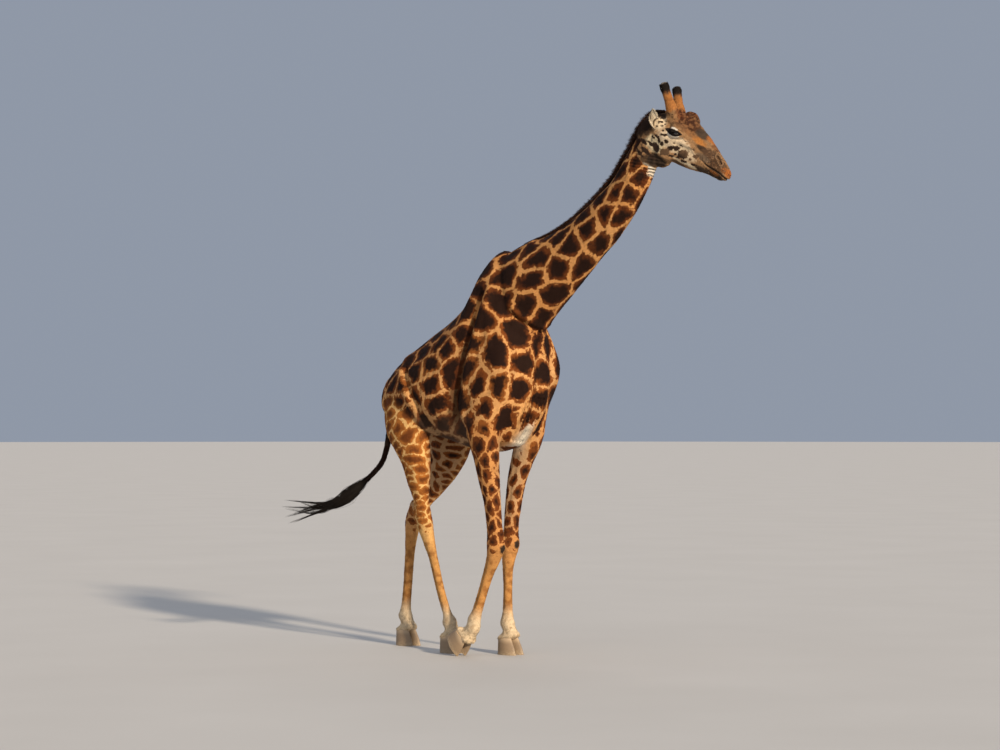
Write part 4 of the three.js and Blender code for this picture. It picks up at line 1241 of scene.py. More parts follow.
# Face, in the head's own frame and mm. Each shade: x, |y|, z, half sizes, colour, strength.
HEAD_SHADES = [
    ((300, 96, 60), (150, 60, 72), (0.58, 0.46, 0.32), 0.95),
    ((420, 84, 40), (120, 50, 56), (0.50, 0.39, 0.26), 0.9),
    ((120, 100, 130), (48, 60, 62), (0.70, 0.56, 0.38), 0.9),
    ((170, 100, -30), (90, 60, 62), (0.52, 0.43, 0.28), 0.9),
    ((300, 60, 250), (120, 60, 56), (0.105, 0.042, 0.017), 0.92),
    ((200, 40, 270), (90, 70, 50), (0.12, 0.036, 0.013), 0.9),
    ((290, 96, 200), (90, 40, 34), (0.145, 0.068, 0.030), 0.9),
    ((300, 0, 320), (64, 44, 34), (0.14, 0.048, 0.015), 0.9),
    ((350, 0, 300), (34, 40, 30), (0.030, 0.015, 0.010), 0.8),
    ((380, 50, 240), (60, 40, 40), (0.105, 0.046, 0.020), 0.9),
    ((440, 30, 228), (66, 50, 42), (0.044, 0.031, 0.023), 0.92),
    ((524, 8, 222), (62, 32, 24), (0.32, 0.105, 0.024), 0.85),
    ((466, 64, 176), (80, 26, 30), (0.36, 0.140, 0.032), 0.9),
    ((385, 78, 190), (60, 30, 26), (0.20, 0.092, 0.036), 0.85),
    ((512, 60, 138), (62, 30, 20), (0.022, 0.014, 0.010), 0.92),
    ((600, 50, 120), (84, 60, 54), (0.075, 0.040, 0.022), 0.92),
    ((690, 50, 90), (84, 60, 60), (0.078, 0.039, 0.019), 0.92),
    ((556, 58, 84), (60, 30, 26), (0.13, 0.088, 0.056), 0.8),
    ((610, 16, 196), (64, 40, 20), (0.15, 0.056, 0.020), 0.85),
    ((784, 20, 90), (30, 50, 36), (0.36, 0.110, 0.022), 0.92),
    ((752, 42, 92), (26, 30, 24), (0.26, 0.085, 0.020), 0.7),
    ((700, 34, 16), (84, 60, 30), (0.022, 0.014, 0.010), 0.95),
    ((690, 46, 30), (42, 20, 13), (0.30, 0.105, 0.026), 0.85),
    ((590, 40, -6), (66, 50, 26), (0.026, 0.018, 0.013), 0.9),
    ((500, 56, -24), (66, 34, 16), (0.60, 0.50, 0.34), 0.85),
    ((420, 50, -62), (90, 50, 18), (0.040, 0.026, 0.018), 0.8),
    ((410, 70, -34), (80, 40, 12), (0.56, 0.46, 0.31), 0.7),
    ((245, 60, -134), (90, 70, 54), (0.018, 0.012, 0.009), 0.95),
    ((176, 70, -180), (60, 60, 56), (0.020, 0.013, 0.009), 0.8),
    ((30, 60, 130), (64, 90, 90), (0.018, 0.010, 0.007), 0.97),
    ((60, 100, 40), (38, 46, 70), (0.030, 0.019, 0.013), 0.9),
    ((110, 60, 190), (40, 50, 34), (0.020, 0.011, 0.008), 0.9),
    ((5, 90, 20), (50, 60, 76), (0.020, 0.012, 0.008), 0.92),
    ((320, 40, 262), (90, 50, 30), (0.085, 0.036, 0.016), 0.7),
]
# Dark spots: x, z, half length, half height, turn in degrees.
HEAD_SPOTS = [
    (404, 22, 46, 33, 32), (501, 62, 24, 18, 40), (302, 12, 32, 19, 46), (338, 36, 30, 19, 50),
    (272, -38, 42, 26, 30), (70, -60, 16, 40, 80), (47, 43, 34, 18, 80), (100, -150, 15, 46, 80),
    (350, -8, 14, 9, 20), (380, -18, 20, 8, 15), (246, 36, 20, 16, 10), (224, 6, 18, 20, 70),
    (190, 12, 14, 17, 60), (158, 30, 10, 24, 80), (133, 8, 9, 20, 85), (193, -46, 28, 46, 70),
    (138, -44, 14, 38, 80), (205, 74, 28, 11, 20), (176, 96, 13, 10, 0), (150, 120, 11, 9, 20),
    (128, 145, 10, 8, 40), (104, 168, 10, 9, 10), (150, 160, 8, 6, 0), (132, 186, 9, 7, 30),
    (160, 140, 6, 6, 0), (112, 130, 7, 9, 60), (120, -108, 20, 46, 80), (168, -120, 13, 40, 78),
    (330, -36, 26, 10, 25), (430, -22, 34, 9, 20), (520, 2, 30, 9, 20), (360, 70, 12, 6, 10),
    (300, 62, 10, 5, 0), (455, 96, 15, 7, 15), (118, 96, 12, 10, 60), (378, 118, 10, 5, 20),
    (430, 60, 9, 5, 30), (470, 20, 12, 6, 30),
]
MOTTLE_LIGHT, MOTTLE_DARK = (0.25, 0.115, 0.046), (0.036, 0.012, 0.006)


def face_colours(skin_at):
    """Base colour, spots' edge and spots' colour over the head."""
    q = to_head(skin_at) / MM
    folded = np.abs(q * Y) + q * (X + Z)  # the left side laid over the right
    ragged = 0.16 * noise(skin_at, 0.03, 41) + 0.12 * noise(skin_at, 0.012, 42)
    base = plain((0.27, 0.150, 0.070), len(q))
    for at, half, colour, strength in HEAD_SHADES:
        d = np.linalg.norm((folded - at) / half, axis=1) + ragged
        base = paint(base, colour, strength * smooth(1.22, 0.72, d))
    # Reddish-brown and tan mottling over brow and forehead, round the feet of the horns.
    brow = smooth(185, 222, q[:, 2] + 0.10 * (q[:, 0] - 250))
    brow = brow * smooth(420, 350, q[:, 0]) * smooth(90, 150, q[:, 0])
    blotch = noise(skin_at, 0.026, 47) + 0.5 * noise(skin_at, 0.012, 48)
    base = paint(base, MOTTLE_LIGHT, 0.5 * brow * smooth(0.12, 0.45, blotch))
    base = paint(base, MOTTLE_DARK, 0.85 * brow * smooth(-0.02, -0.30, blotch))
    # Up the feet of the horns the coat turns orange.
    for side in (1, -1):
        foot, tip = horn_ends(side)
        axis = tip - foot
        t = (q - foot) @ axis / (axis @ axis)
        off = np.linalg.norm(q - foot - t[:, None] * axis, axis=1)
        base = paint(base, HORN_TAN, smooth(0.02, 0.16, t + 0.06 * blotch) * smooth(90, 70, off))
    edge = np.full(len(q), -0.02)
    ragged = 0.0035 * noise(skin_at, 0.018, 43)
    for x, z, a, b, turn in HEAD_SPOTS:
        t = math.radians(turn)
        u = (q[:, 0] - x) * math.cos(t) + (q[:, 2] - z) * math.sin(t)
        v = (q[:, 2] - z) * math.cos(t) - (q[:, 0] - x) * math.sin(t)
        edge = np.maximum(edge, (1 - np.hypot(u / a, v / b)) * min(a, b) * MM + ragged)
    edge = np.where(folded[:, 1] > 30, edge, -0.02)
    brown = smooth(340, 400, q[:, 0]) * smooth(0, 20, q[:, 2])
    brown = np.maximum(brown, smooth(46, 30, np.hypot(q[:, 0] - 272, q[:, 2] + 38)))
    spot = paint(plain((0.026, 0.014, 0.009), len(q)), (0.105, 0.060, 0.033), brown)
    # Mouth, nostrils and speckles. The mouth's line and the nostrils' slits are painted near black, as
    # painted shade in these openings.
    mouth = bell(off_mouth(q * MM), 0.0065) * smooth(560, 600, q[:, 0])
    base = paint(base, (0.012, 0.009, 0.008), mouth)
    for side in (1, -1):
        d = line_distance(q, NOSTRILS[side] / MM)
        base = paint(base, (0.014, 0.010, 0.009), smooth(13, 6, d))
        # A painted highlight on the raised wing round each nostril.
        base = paint(base, (0.27, 0.16, 0.085), 0.7 * bell(d - 18, 5))
    muzzle = smooth(500, 620, q[:, 0])
    base = paint(base, (0.035, 0.022, 0.016), 0.75 * muzzle * smooth(0.18, 0.5, noise(skin_at, 0.011, 44)))
    base = paint(base, (0.30, 0.18, 0.10), 0.45 * muzzle * smooth(0.25, 0.6, noise(skin_at, 0.016, 49)))
    base = base * (1 + 0.20 * noise(skin_at, 0.016, 45) + 0.13 * noise(skin_at, 0.007, 46))[:, None]
    return q, base, edge, spot


picked = np.flatnonzero(head_mask > 0)
q, head_base, head_edge, head_patch = face_colours(co[picked])
# Black skin round each eye, drawn out to both corners, with white over and under its rear half.
LID_BLACK = (0.011, 0.008, 0.007)
at_picked = np.full(len(co), -1)
at_picked[picked] = np.arange(len(picked))
for side in (1, -1):
    i, u, v = round_eye(co, side)
    ragged = 0.10 * noise(co[i], 0.012, 55)
    i = at_picked[i]
    bend = np.clip((u + 0.026) / 0.076, -1, 1)
    almond = np.abs(v + 0.004 * bend - 0.006 * bend**2) / (0.0265 * np.maximum(1 - bend**2, 0.02)) + ragged
    almond = np.where(np.abs(bend) > 0.995, 9.0, almond)
    white = smooth(1.62, 1.35, almond) * np.where(v > 0, smooth(0.012, -0.004, u) * smooth(-0.062, -0.04, u),
                                                  0.8 * smooth(0.034, 0.02, u) * smooth(-0.08, -0.06, u))
    head_base[i] = paint(head_base[i], (0.80, 0.73, 0.62), white)
    head_base[i] = paint(head_base[i], LID_BLACK, smooth(1.12, 0.92, almond))
    head_edge[i] = np.where(almond < 1.7, -0.02, head_edge[i])
blend = head_soft[picked] * smooth(-70, -10, q[:, 0] + 0.15 * q[:, 2]) * smooth(-300, -200, q[:, 2])
blend = np.clip(blend, 0, 1)


def onto_head(values, face):
    """Face values laid over the body's, fading out down the neck."""
    share = blend if values.ndim == 1 else blend[:, None]
    values[picked] += (face - values[picked]) * share


onto_head(line_col, head_base)
onto_head(patch_col, head_patch)
onto_head(core_col, head_patch * 0.6)
onto_head(edge, head_edge)
# White and dark bars across the throat, just behind the jaw.
bars = np.sin(throat_phase(q) + 1.5 * noise(co[picked], 0.03, 54))
bar_zone = (smooth(-184, -200, q[:, 2]) * smooth(-274, -250, q[:, 2]) * smooth(150, 200, q[:, 0])
            * smooth(0.62, 0.30, np.abs(around[picked] + math.pi / 2)))
line_col[picked] = paint(line_col[picked], WHITE, 0.75 * bar_zone)
line_col[picked] = paint(line_col[picked], (0.035, 0.025, 0.02), bar_zone * smooth(0.35, 0.75, bars))
edge[picked] = np.where(bar_zone > 0.35, -0.02, edge[picked])
# The nape behind the ears is dark up to the mane.
NAPE = np.array([(-150, 0, -70), (-60, 0, 60), (20, 0, 120)])
nape = smooth(165, 112, line_distance(q, NAPE) + 14 * noise(co[picked], 0.03, 56)) * smooth(95, 60, q[:, 0])
line_col[picked] = paint(line_col[picked], (0.026, 0.013, 0.008), 0.93 * nape)
patch_col[picked] = paint(patch_col[picked], (0.016, 0.009, 0.006), 0.9 * nape)


# ---------------------------------------------------------------- materials

class Shader:
    """A material with one Principled shader, and short ways to add nodes to it."""

    def __init__(self, name):
        self.material = bpy.data.materials.new(name)
        self.material.use_nodes = True
        self.tree = self.material.node_tree

    def put(self, socket, value):
        """Sets a socket to a number or a colour, or links another node's output to it."""
        if isinstance(value, bpy.types.NodeSocket):
            self.tree.links.new(value, socket)
        else:
            socket.default_value = (*value, 1.0) if socket.type == "RGBA" else value

    def add(self, kind, output, inputs, **settings):
        """One output of a new node, after its settings and inputs are set."""
        node = self.tree.nodes.new("ShaderNode" + kind)
        for key, value in settings.items():
            setattr(node, key, value)
        for key, value in inputs.items():
            self.put(node.inputs[key], value)
        return node.outputs[output]

    def attribute(self, name, output):
        return self.add("Attribute", output, {}, attribute_name=name)

    def math(self, operation, a, b=0.0, clamp=False):
        return self.add("Math", 0, {0: a, 1: b}, operation=operation, use_clamp=clamp)

    def plus(self, a, b, clamp=False):
        return self.math("ADD", a, b, clamp)

    def times(self, a, b):
        return self.math("MULTIPLY", a, b)

    def ramp(self, value, low, high, out_low=0.0, out_high=1.0):
        inputs = {"Value": value, "From Min": low, "From Max": high, "To Min": out_low, "To Max": out_high}
        return self.add("MapRange", "Result", inputs, interpolation_type="SMOOTHSTEP")

    def mixed(self, factor, a, b, blend_type="MIX"):
        return self.add("Mix", 2, {0: factor, 6: a, 7: b}, data_type="RGBA", blend_type=blend_type)

    def shaded(self, colour, value):
        """A colour made darker or lighter by a number."""
        grey = self.add("CombineColor", 0, {0: value, 1: value, 2: value})
        return self.mixed(1.0, colour, grey, "MULTIPLY")

    def noise(self, vector, scale, detail=2.0, roughness=0.5):
        inputs = {"Vector": vector, "Scale": scale, "Detail": detail, "Roughness": roughness}
        return self.add("TexNoise", "Fac", inputs)

    def swing(self, vector, scale, detail, size):
        """Noise to both sides of 0."""
        return self.times(self.math("SUBTRACT", self.noise(vector, scale, detail, 0.6), 0.5), size)

    def stretched(self, vector, scale):
        return self.add("Mapping", 0, {"Vector": vector, "Scale": scale})

    def bump(self, height, strength, distance, **more):
        inputs = {"Height": height, "Strength": strength, "Distance": distance, **more}
        return self.add("Bump", "Normal", inputs)

    def finished(self, **inputs):
        """The material, once these inputs of its Principled shader are set."""
        for key, value in inputs.items():
            self.put(self.tree.nodes["Principled BSDF"].inputs[key.replace("_", " ")], value)
        return self.material


def coat_material(name, hair):
    """The coat's markings, the same on skin and tufts: all its inputs are read at the root of the hair."""
    s = Shader(name)
    root, grain = (s.attribute(field, "Vector") for field in ("root", "grain"))
    line, patch, core = (s.attribute(field, "Color") for field in ("line_col", "patch_col", "core_col"))
    lobes, jags = s.swing(root, 34, 3, 0.030), s.swing(root, 150, 2, 0.014)
    inside = s.plus(s.plus(s.attribute("edge", "Fac"), lobes), jags)
    star = s.swing(root, 15, 3, 0.075)
    marks = s.mixed(s.ramp(s.plus(inside, star), 0.003, 0.044), patch, core)
    colour = s.mixed(s.ramp(inside, -0.0022, 0.0028), line, marks)
    hairs = s.noise(grain, 1.0, 3, 0.65)
    colour = s.shaded(colour, s.ramp(hairs, 0.25, 0.75, 0.72, 1.22))
    rough = s.ramp(hairs, 0.2, 0.8, 0.70, 0.92)
    if hair:
        colour = s.shaded(colour, s.attribute("tone", "Fac"))
        return s.finished(Base_Color=colour, Roughness=rough, Specular_IOR_Level=0.12)
    folds = s.bump(s.noise(root, 60, 4, 0.6), 0.45, 0.004)
    normal = s.bump(hairs, 0.55, 0.0025, Normal=folds)
    return s.finished(Base_Color=colour, Roughness=rough, Specular_IOR_Level=0.12, Normal=normal)


def plain_hair(name, dark, light, roughness):
    """Long hair: each strand a little lighter or darker by its own tone."""
    s = Shader(name)
    tone = s.attribute("tone", "Fac")
    patchy = s.times(s.noise(s.attribute("root", "Vector"), 22), 0.7)
    colour = s.mixed(s.plus(s.times(tone, 0.6), patchy, clamp=True), dark, light)
    rough = s.ramp(tone, 0, 1, roughness, roughness + 0.2)
    return s.finished(Base_Color=colour, Roughness=rough, Specular_IOR_Level=0.18)


SKIN = coat_material("coat_skin", False)
FUR = coat_material("coat_tufts", True)
MANE = plain_hair("mane_hair", (0.008, 0.0045, 0.0035), (0.056, 0.020, 0.009), 0.62)
BLACK_HAIR = plain_hair("black_hair", (0.003, 0.0026, 0.0024), (0.013, 0.0085, 0.006), 0.42)


# ---------------------------------------------------------------- the skin piece

# Hair grain: stretched along the lie of the coat. Its numbers are noise cells, not metres.
GRAIN_LONG, GRAIN_THICK = 0.016, 0.0022


def grain_of(p, f, n):
    return np.stack([
        dot(p, f) / GRAIN_LONG, dot(p, np.cross(n, f)) / GRAIN_THICK, dot(p, n) / (GRAIN_THICK * 3),
    ], 1)


limb_grain = np.zeros_like(co)
for k, limb in enumerate(LIMBS):
    m = which == k
    radius = np.interp(arc_len[m], limb.s, (limb.wide + limb.deep) / 2)
    fine = 0.55 if limb is skull else 1.0
    limb_grain[m] = np.stack([arc_len[m] / (0.013 * fine), around[m] * radius / (0.0028 * fine),
                              np.full(m.sum(), k * 3.7)], 1)

skin_fields = {
    "edge": edge, "line_col": np.clip(line_col, 0, 1), "patch_col": np.clip(patch_col, 0, 1),
    "core_col": np.clip(core_col, 0, 1), "root": co, "grain": limb_grain,
}


def along_surface(way, n):
    """One way laid onto the surface at each point."""
    return unit(way - n * (n @ way)[:, None])


def unmarked(co, f, n, colour):
    """The coat's fields where it has one colour and no patches."""
    return {
        "edge": np.full(len(co), -0.03), "line_col": np.clip(colour, 0, 1), "patch_col": colour * 0.4,
        "core_col": colour * 0.3, "root": co, "grain": grain_of(co, f, n),
    }


def ear_fields(side):
    """Colours of an ear: cream inside with a painted shadow along its slit and painted shade down its cup,
    grey-brown outside with a dark edge.
    """
    ear_co, ear_tris, inner = ear_parts[side]
    h = to_head(ear_co) / MM
    root, length, up, _, across = ear_axes(side)
    t = np.clip((h - root) @ up / length, 0, 1)
    outside = paint(plain((0.075, 0.044, 0.026), len(t)), (0.025, 0.016, 0.012), smooth(0.4, 0.9, t))
    inside = paint(plain(EAR_CREAM, len(t)), (0.72, 0.64, 0.5), smooth(0.3, 0.8, t))
    outward = side * (h - root) @ across / EAR_WIDE + 0.14 * noise(ear_co, 0.02, 51)
    # Painted shadow along the slit of the cup, on its inner side.
    slit_shadow = smooth(0.40, 0.16, np.abs(outward - 0.34)) * smooth(0.99, 0.86, t) * smooth(0.28, 0.50, t)
    inside = paint(inside, (0.022, 0.014, 0.010), 0.96 * slit_shadow)
    # Painted shade down the middle of the cup, towards its root.
    shade = smooth(0.45, 0.15, np.abs(outward + 0.1)) * smooth(0.9, 0.5, t)
    inside = paint(inside, (0.20, 0.145, 0.095), 0.6 * shade)
    colour = np.where(inner[:, None], inside, outside)
    colour = colour * (1 + 0.15 * noise(ear_co, 0.008, 52))[:, None]
    d = np.linalg.norm(h - root, axis=1)
    colour = paint(colour, EAR_CREAM, 0.8 * smooth(46, 20, d))
    n = normals_of(ear_co, ear_tris)
    f = along_surface(HEAD_TURN @ up, n)
    return unmarked(ear_co, f, n, colour), n, f


def add_fields(me, fields):
    for name, values in fields.items():
        if values.ndim == 1:
            add_float(me, name, values)
        elif name.endswith("_col"):
            data = np.ones((len(values), 4), np.float32)
            data[:, :3] = values
            me.attributes.new(name, "FLOAT_COLOR", "POINT").data.foreach_set("color", data.ravel())
        else:
            add_vector(me, name, values)


all_co, all_tris = joined([(co, tris), *[ear_parts[s][:2] for s in (1, -1)]])
ear_data = {s: ear_fields(s) for s in (1, -1)}
parts = [skin_fields, ear_data[1][0], ear_data[-1][0]]
all_fields = {k: np.concatenate([part[k] for part in parts]) for k in skin_fields}
skin = piece("skin", all_co, all_tris, SKIN)
add_fields(skin.data, all_fields)
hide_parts("head", "neck", "trunk", "tail", *LEGS, "ear_left", "ear_right")


# ---------------------------------------------------------------- tufts

def scatter(tris, co, weight, count, seed):
    """Random places on the triangles: faces, their weights for the three corners, and the draws' source."""
    r = draws(seed)
    a, b, c = (co[tris[:, k]] for k in range(3))
    area = np.linalg.norm(np.cross(b - a, c - a), axis=1) / 2 * weight[tris].mean(1)
    total = np.cumsum(area)
    face = np.minimum(np.searchsorted(total, r.random(count) * total[-1]), len(tris) - 1)
    u, v = r.random((2, count))
    flip = u + v > 1
    u, v = np.where(flip, 1 - u, u), np.where(flip, 1 - v, v)
    return face, np.stack([1 - u - v, u, v], 1), r


def at_roots(values, tris, face, bary):
    """A surface's values at the roots."""
    corners = values[tris[face]]
    if values.ndim == 1:
        return (corners * bary).sum(1)
    return (corners * bary[..., None]).sum(1)


BLADE_SPREAD = 0.3  # turn of a tuft's outer blades from its middle one, in radians
BLADE_FACES = np.array([[0, 3, 2], [1, 2, 3], [0, 1, 3], [0, 2, 1]])


def spikes(root, n, f, length, width, lift, r):
    """Three flat tapered hairs to a tuft, each a closed solid. Returns points, faces, tuft numbers."""
    side = np.cross(n, f)
    cos = []
    for k in (-1, 0, 1):
        yaw = BLADE_SPREAD * k + r.normal(0, 0.12, len(root))
        d = unit(f * np.cos(yaw)[:, None] + side * np.sin(yaw)[:, None])
        across = np.cross(n, d)
        tilt = lift * (1 + r.normal(0, 0.25, len(root)))
        up = d * np.cos(tilt)[:, None] + n * np.sin(tilt)[:, None]
        size = length * (1 + r.normal(0, 0.16, len(root)))
        at = root + side * (k * width * 0.9)[:, None] - n * 0.0008
        w = across * (width / 2)[:, None]
        thick = n * (width * 0.35)[:, None]
        cos.append(np.stack([at - w, at + w, at + thick, at + up * size[:, None]], 1))
    shape = np.concatenate(cos)
    faces = (BLADE_FACES + np.arange(len(shape))[:, None, None] * 4).reshape(-1, 3)
    return shape.reshape(-1, 3), faces, np.repeat(np.tile(np.arange(len(root)), len(cos)), 4)


PATCH = 0.003  # a tuft's size on the map
SPIKE_UV = np.array([[0, 0], [0.5, 1], [1, 0]]) * PATCH


def tuft_uv(me, place, numbers, faces):
    """A small patch of the map for each tuft, at its root's place on the unwrapped limb."""
    layer = me.uv_layers.new(name="OFBake")
    base = place[numbers[faces[:, 0]]]
    uv = base[:, None] + SPIKE_UV
    layer.data.foreach_set("uv", np.clip(uv, 0.0005, 0.9995).astype(np.float32).ravel())


def coat_piece(name, source, count, weight, length, width, lift, seed, place):
    """Tufts over part of a surface, as one joined piece with the markings of their roots."""
    src_co, src_tris, src_n, src_f, fields = source
    face, bary, r = scatter(src_tris, src_co, weight, count, seed)
    root = at_roots(src_co, src_tris, face, bary)
    n = unit(at_roots(src_n, src_tris, face, bary))
    f = at_roots(src_f, src_tris, face, bary)
    f = unit(f - n * dot(f, n)[:, None])
    sizes = (at_roots(values, src_tris, face, bary) for values in (length, width, lift))
    points, faces, numbers = spikes(root, n, f, *sizes, r)
    ob = piece(name, points, faces, FUR)
    rooted = {k: at_roots(v, src_tris, face, bary)[numbers] for k, v in fields.items()}
    add_fields(ob.data, rooted)
    add_float(ob.data, "tone", r.uniform(*TONES, len(root))[numbers])
    tuft_uv(ob.data, place(root), numbers, faces)
    soft = unit(n * 0.8 + f * 0.1)[numbers]
    ob.data.normals_split_custom_set_from_vertices(soft.tolist())


def unwrap_on(limb):
    """Places on the limb's own unrolled surface, from 0 to 1 along it and round it."""
    def place(root):
        _, s, angle, _ = limb.locate(to_head(root) if limb is skull else root)
        u = np.clip(s / limb.s[-1], 0, 1) * 0.98 + 0.01
        v = (angle / TAU + 0.5) * 0.98 + 0.01
        return np.stack([u, v], 1)
    return place


few = 1.0
EAR_TUFTS, HORN_TUFTS = 2300, 3000
MANE_HAIRS, TASSEL_HAIRS, UPPER_LASHES, LOWER_LASHES = 9000, 1400, 130, 40
MANE_WIDE, TASSEL_WIDE, LASH_WIDE = 0.0030, (0.0016, 0.0034), 0.0013
TONES = (0.8, 1.2)  # darkest and lightest tuft
skin_source = (co, tris, normal, flow, skin_fields)
rough_edge = np.clip(np.linalg.norm(web.mean(normal) - normal, axis=1) * 9, 0, 1)
tuft_long = np.where(on_trunk | on_neck_limb, 0.0145, 0.012)
tuft_long = np.where((fore | hind) & (height < 1.0), 0.0095, tuft_long)
tuft_long = tuft_long + 0.010 * trunk_low + 0.008 * breast + 0.007 * np.clip(pale_foot, 0, 1)
tuft_long = np.where(on_tail, 0.020, tuft_long)
face_short = smooth(-0.03, 0.26, to_head(co)[:, 0])
tuft_long = np.where(on_head, 0.0135 - 0.0065 * face_short, tuft_long)
tuft_wide = np.where(on_head, 0.0013, 0.0027)
tuft_lift = np.full(len(co), 0.15) + 0.10 * rough_edge
tuft_weight = 1 + 1.6 * rough_edge + 0.6 * trunk_low
bare = np.zeros(len(co))
for side in (1, -1):
    i, away = lid_marks[side]
    bare[i] = np.maximum(bare[i], smooth(1.75, 1.35, away))
    nostril = smooth(13, 8, line_distance(q, NOSTRILS[side] / MM))
    bare[picked] = np.maximum(bare[picked], nostril)
lips = smooth(0.009, 0.005, off_mouth(q * MM)) * (q[:, 0] > 570)
bare[picked] = np.maximum(bare[picked], lips)
tuft_weight = tuft_weight * (1 - np.clip(bare, 0, 1))

# Pieces of the coat: name, where, number of tufts, limb that the map is unrolled from.
PIECES = [
    ("coat_trunk_right", on_trunk & (co[:, 1] < 0), 12500, trunk),
    ("coat_trunk_left", on_trunk & (co[:, 1] >= 0), 12500, trunk),
    ("coat_neck", on_neck_limb, 13500, neck), ("coat_head", on_head, 15500, skull),
    ("coat_tail", on_tail, 1300, tail), *[(f"coat_{name}", is_leg[name], 6300, legs[name]) for name in LEGS],
]
for index, (name, mask, count, limb) in enumerate(PIECES):
    weight = tuft_weight * mask
    coat_piece(name, skin_source, int(count * few), weight, tuft_long, tuft_wide, tuft_lift,
               TUFT_DRAW + index, unwrap_on(limb))


def ear_place(side):
    """Places on a flat view of the ear, from 0 to 1."""
    def place(root):
        x, y, z = (to_head(root) / MM - np.array(EAR_ROOT) * (1, side, 1)).T / 150
        return np.stack([0.5 + 0.3 * (x + 0.4 * y * side), 0.1 + 0.55 * z + 0.15 * y * side], 1)
    return place


for side, word in SIDES:
    ear_co, ear_tris, inner = ear_parts[side]
    fields, n, f = ear_data[side]
    ones = np.ones(len(ear_co))
    rim = np.clip(np.linalg.norm(Web(len(ear_co), ear_tris).mean(n) - n, axis=1) * 3, 0, 1)
    source = (ear_co, ear_tris, n, f, fields)
    coat_piece(f"coat_ear_{word}", source, int(EAR_TUFTS * few), 0.6 + 1.5 * rim + 0.5 * inner,
               0.0075 + 0.004 * rim + 0.004 * inner, 0.0012 * ones, 0.14 + 0.08 * inner,
               EAR_DRAW + side, ear_place(side))


# ---------------------------------------------------------------- long hair: mane, tassel, lashes

def strands(paths, width):
    """Closed tapered tubes along paths of shape (strand, step, 3). Returns points, faces, numbers."""
    count, steps = paths.shape[:2]
    sides = 3
    t = unit(np.gradient(paths, axis=1))
    ref = np.where(np.abs(t[..., 2:3]) > 0.9, X, Z)
    across = unit(np.cross(t, ref))
    over = np.cross(t, across)
    taper = np.interp(np.linspace(0, 1, steps), [0, 0.12, 0.6, 1], [0.7, 1, 0.8, 0.06])
    radius = np.asarray(width).reshape(-1, 1) / 2 * taper
    ring = [across * math.cos(k / sides * TAU) + over * math.sin(k / sides * TAU) for k in range(sides)]
    points = np.stack([paths + radius[..., None] * d for d in ring], 2).reshape(count, -1, 3)
    one = []
    for low in range(0, (steps - 1) * sides, sides):
        for k in range(sides):
            a, b = low + k, low + (k + 1) % sides
            one += [(a, b, b + sides), (a, b + sides, a + sides)]
    last = (steps - 1) * sides
    one += [(0, 2, 1), (last, last + 1, last + 2)]
    faces = (np.array(one) + np.arange(count)[:, None, None] * steps * sides).reshape(-1, 3)
    return points.reshape(-1, 3), faces, np.repeat(np.arange(count), steps * sides)


def strand_piece(name, paths, width, material, seed, place, tone=(0, 1), replaces=()):
    """Long hair along the paths, as one piece."""
    points, faces, numbers = strands(paths, width)
    ob = piece(name, points, faces, material)
    r = draws(seed)
    add_float(ob.data, "tone", r.uniform(*tone, len(paths))[numbers])
    add_vector(ob.data, "root", paths[numbers, 0])
    tuft_uv(ob.data, place, numbers, faces)
    if replaces:
        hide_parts(*replaces)


# Where lines from inside the head meet the nape and the poll: x, z and turn upwards from the nose's way.
POLL_RAYS = [(100, -110, 172), (100, -60, 170), (100, -15, 168), (100, 25, 162), (90, 50, 150), (90, 55, 136),
             (90, 60, 122), (92, 60, 108), (96, 60, 96)]


def crest_line():
    """Points along the top of the skin's middle, from the withers up over the poll, evenly spaced."""
    chosen = [k for k in range(len(neck.c)) if 0.40 < neck.s[k] < neck.s[-1] - 0.13]
    axis_points, outs = [neck.c[k] for k in chosen], [neck.d[k] for k in chosen]
    axis_points, outs = axis_points[::2], outs[::2]
    for x, z, turn in POLL_RAYS:
        a = math.radians(turn)
        axis_points.append(from_head(np.array([x, 0, z]) * MM))
        outs.append(HEAD_TURN @ np.array([math.cos(a), 0, math.sin(a)]))
    line = []
    for p, out in zip(axis_points, outs):
        v = co - p
        ahead = v @ out
        off = np.linalg.norm(v - ahead[:, None] * out, axis=1)
        hit = (off < 0.018) & (ahead > 0) & (ahead < 0.55)
        if hit.any():
            line.append(p + out * ahead[hit].max())
    line = np.array(line)
    for _ in range(2):
        line[1:-1] = line[1:-1] * 0.5 + (line[:-2] + line[2:]) * 0.25
    return line


# Height of the mane in metres, by share of its line from the withers to the poll.
MANE_HEIGHT = [
    (0, 0.006), (0.10, 0.018), (0.35, 0.030), (0.65, 0.044), (0.85, 0.050), (0.95, 0.036), (1, 0.018),
]


def mane_paths(count):
    """Short stiff hair standing along the crest of the neck, taller towards the head, up between the ears."""
    r = draws(MANE_DRAW)
    line = crest_line()
    ts = np.sort(r.random(count))
    at = spline(line, ts)
    t = unit(spline(line, np.clip(ts + 0.01, 0, 1)) - spline(line, np.clip(ts - 0.01, 0, 1)))
    out = unit(np.cross(t, np.tile(Y, (count, 1))))
    out = out * np.sign(out @ (np.array([-0.9, 0, 1])))[:, None]
    across = np.cross(t, out)
    length = np.interp(ts, *zip(*MANE_HEIGHT))
    length = length * (1 + r.normal(0, 0.09, count)) * (1 - 0.22 * r.random(count) ** 3)
    offset = r.normal(0, 0.0095, count)
    at = at + across * offset[:, None] - out * 0.006
    lean = r.normal(0, 0.06, count)
    clump = noise(at, 0.035, 73) * 0.16
    sideways = offset * 9 + r.normal(0, 0.05, count)
    tip = unit(out + t * (-0.34 + lean + clump)[:, None] + across * sideways[:, None])
    steps = np.linspace(0, 1, 4)[None, :, None]
    curl = t[:, None] * (-0.010 * steps**2)
    return at[:, None] + tip[:, None] * (length + 0.006)[:, None, None] * steps + curl, ts, offset


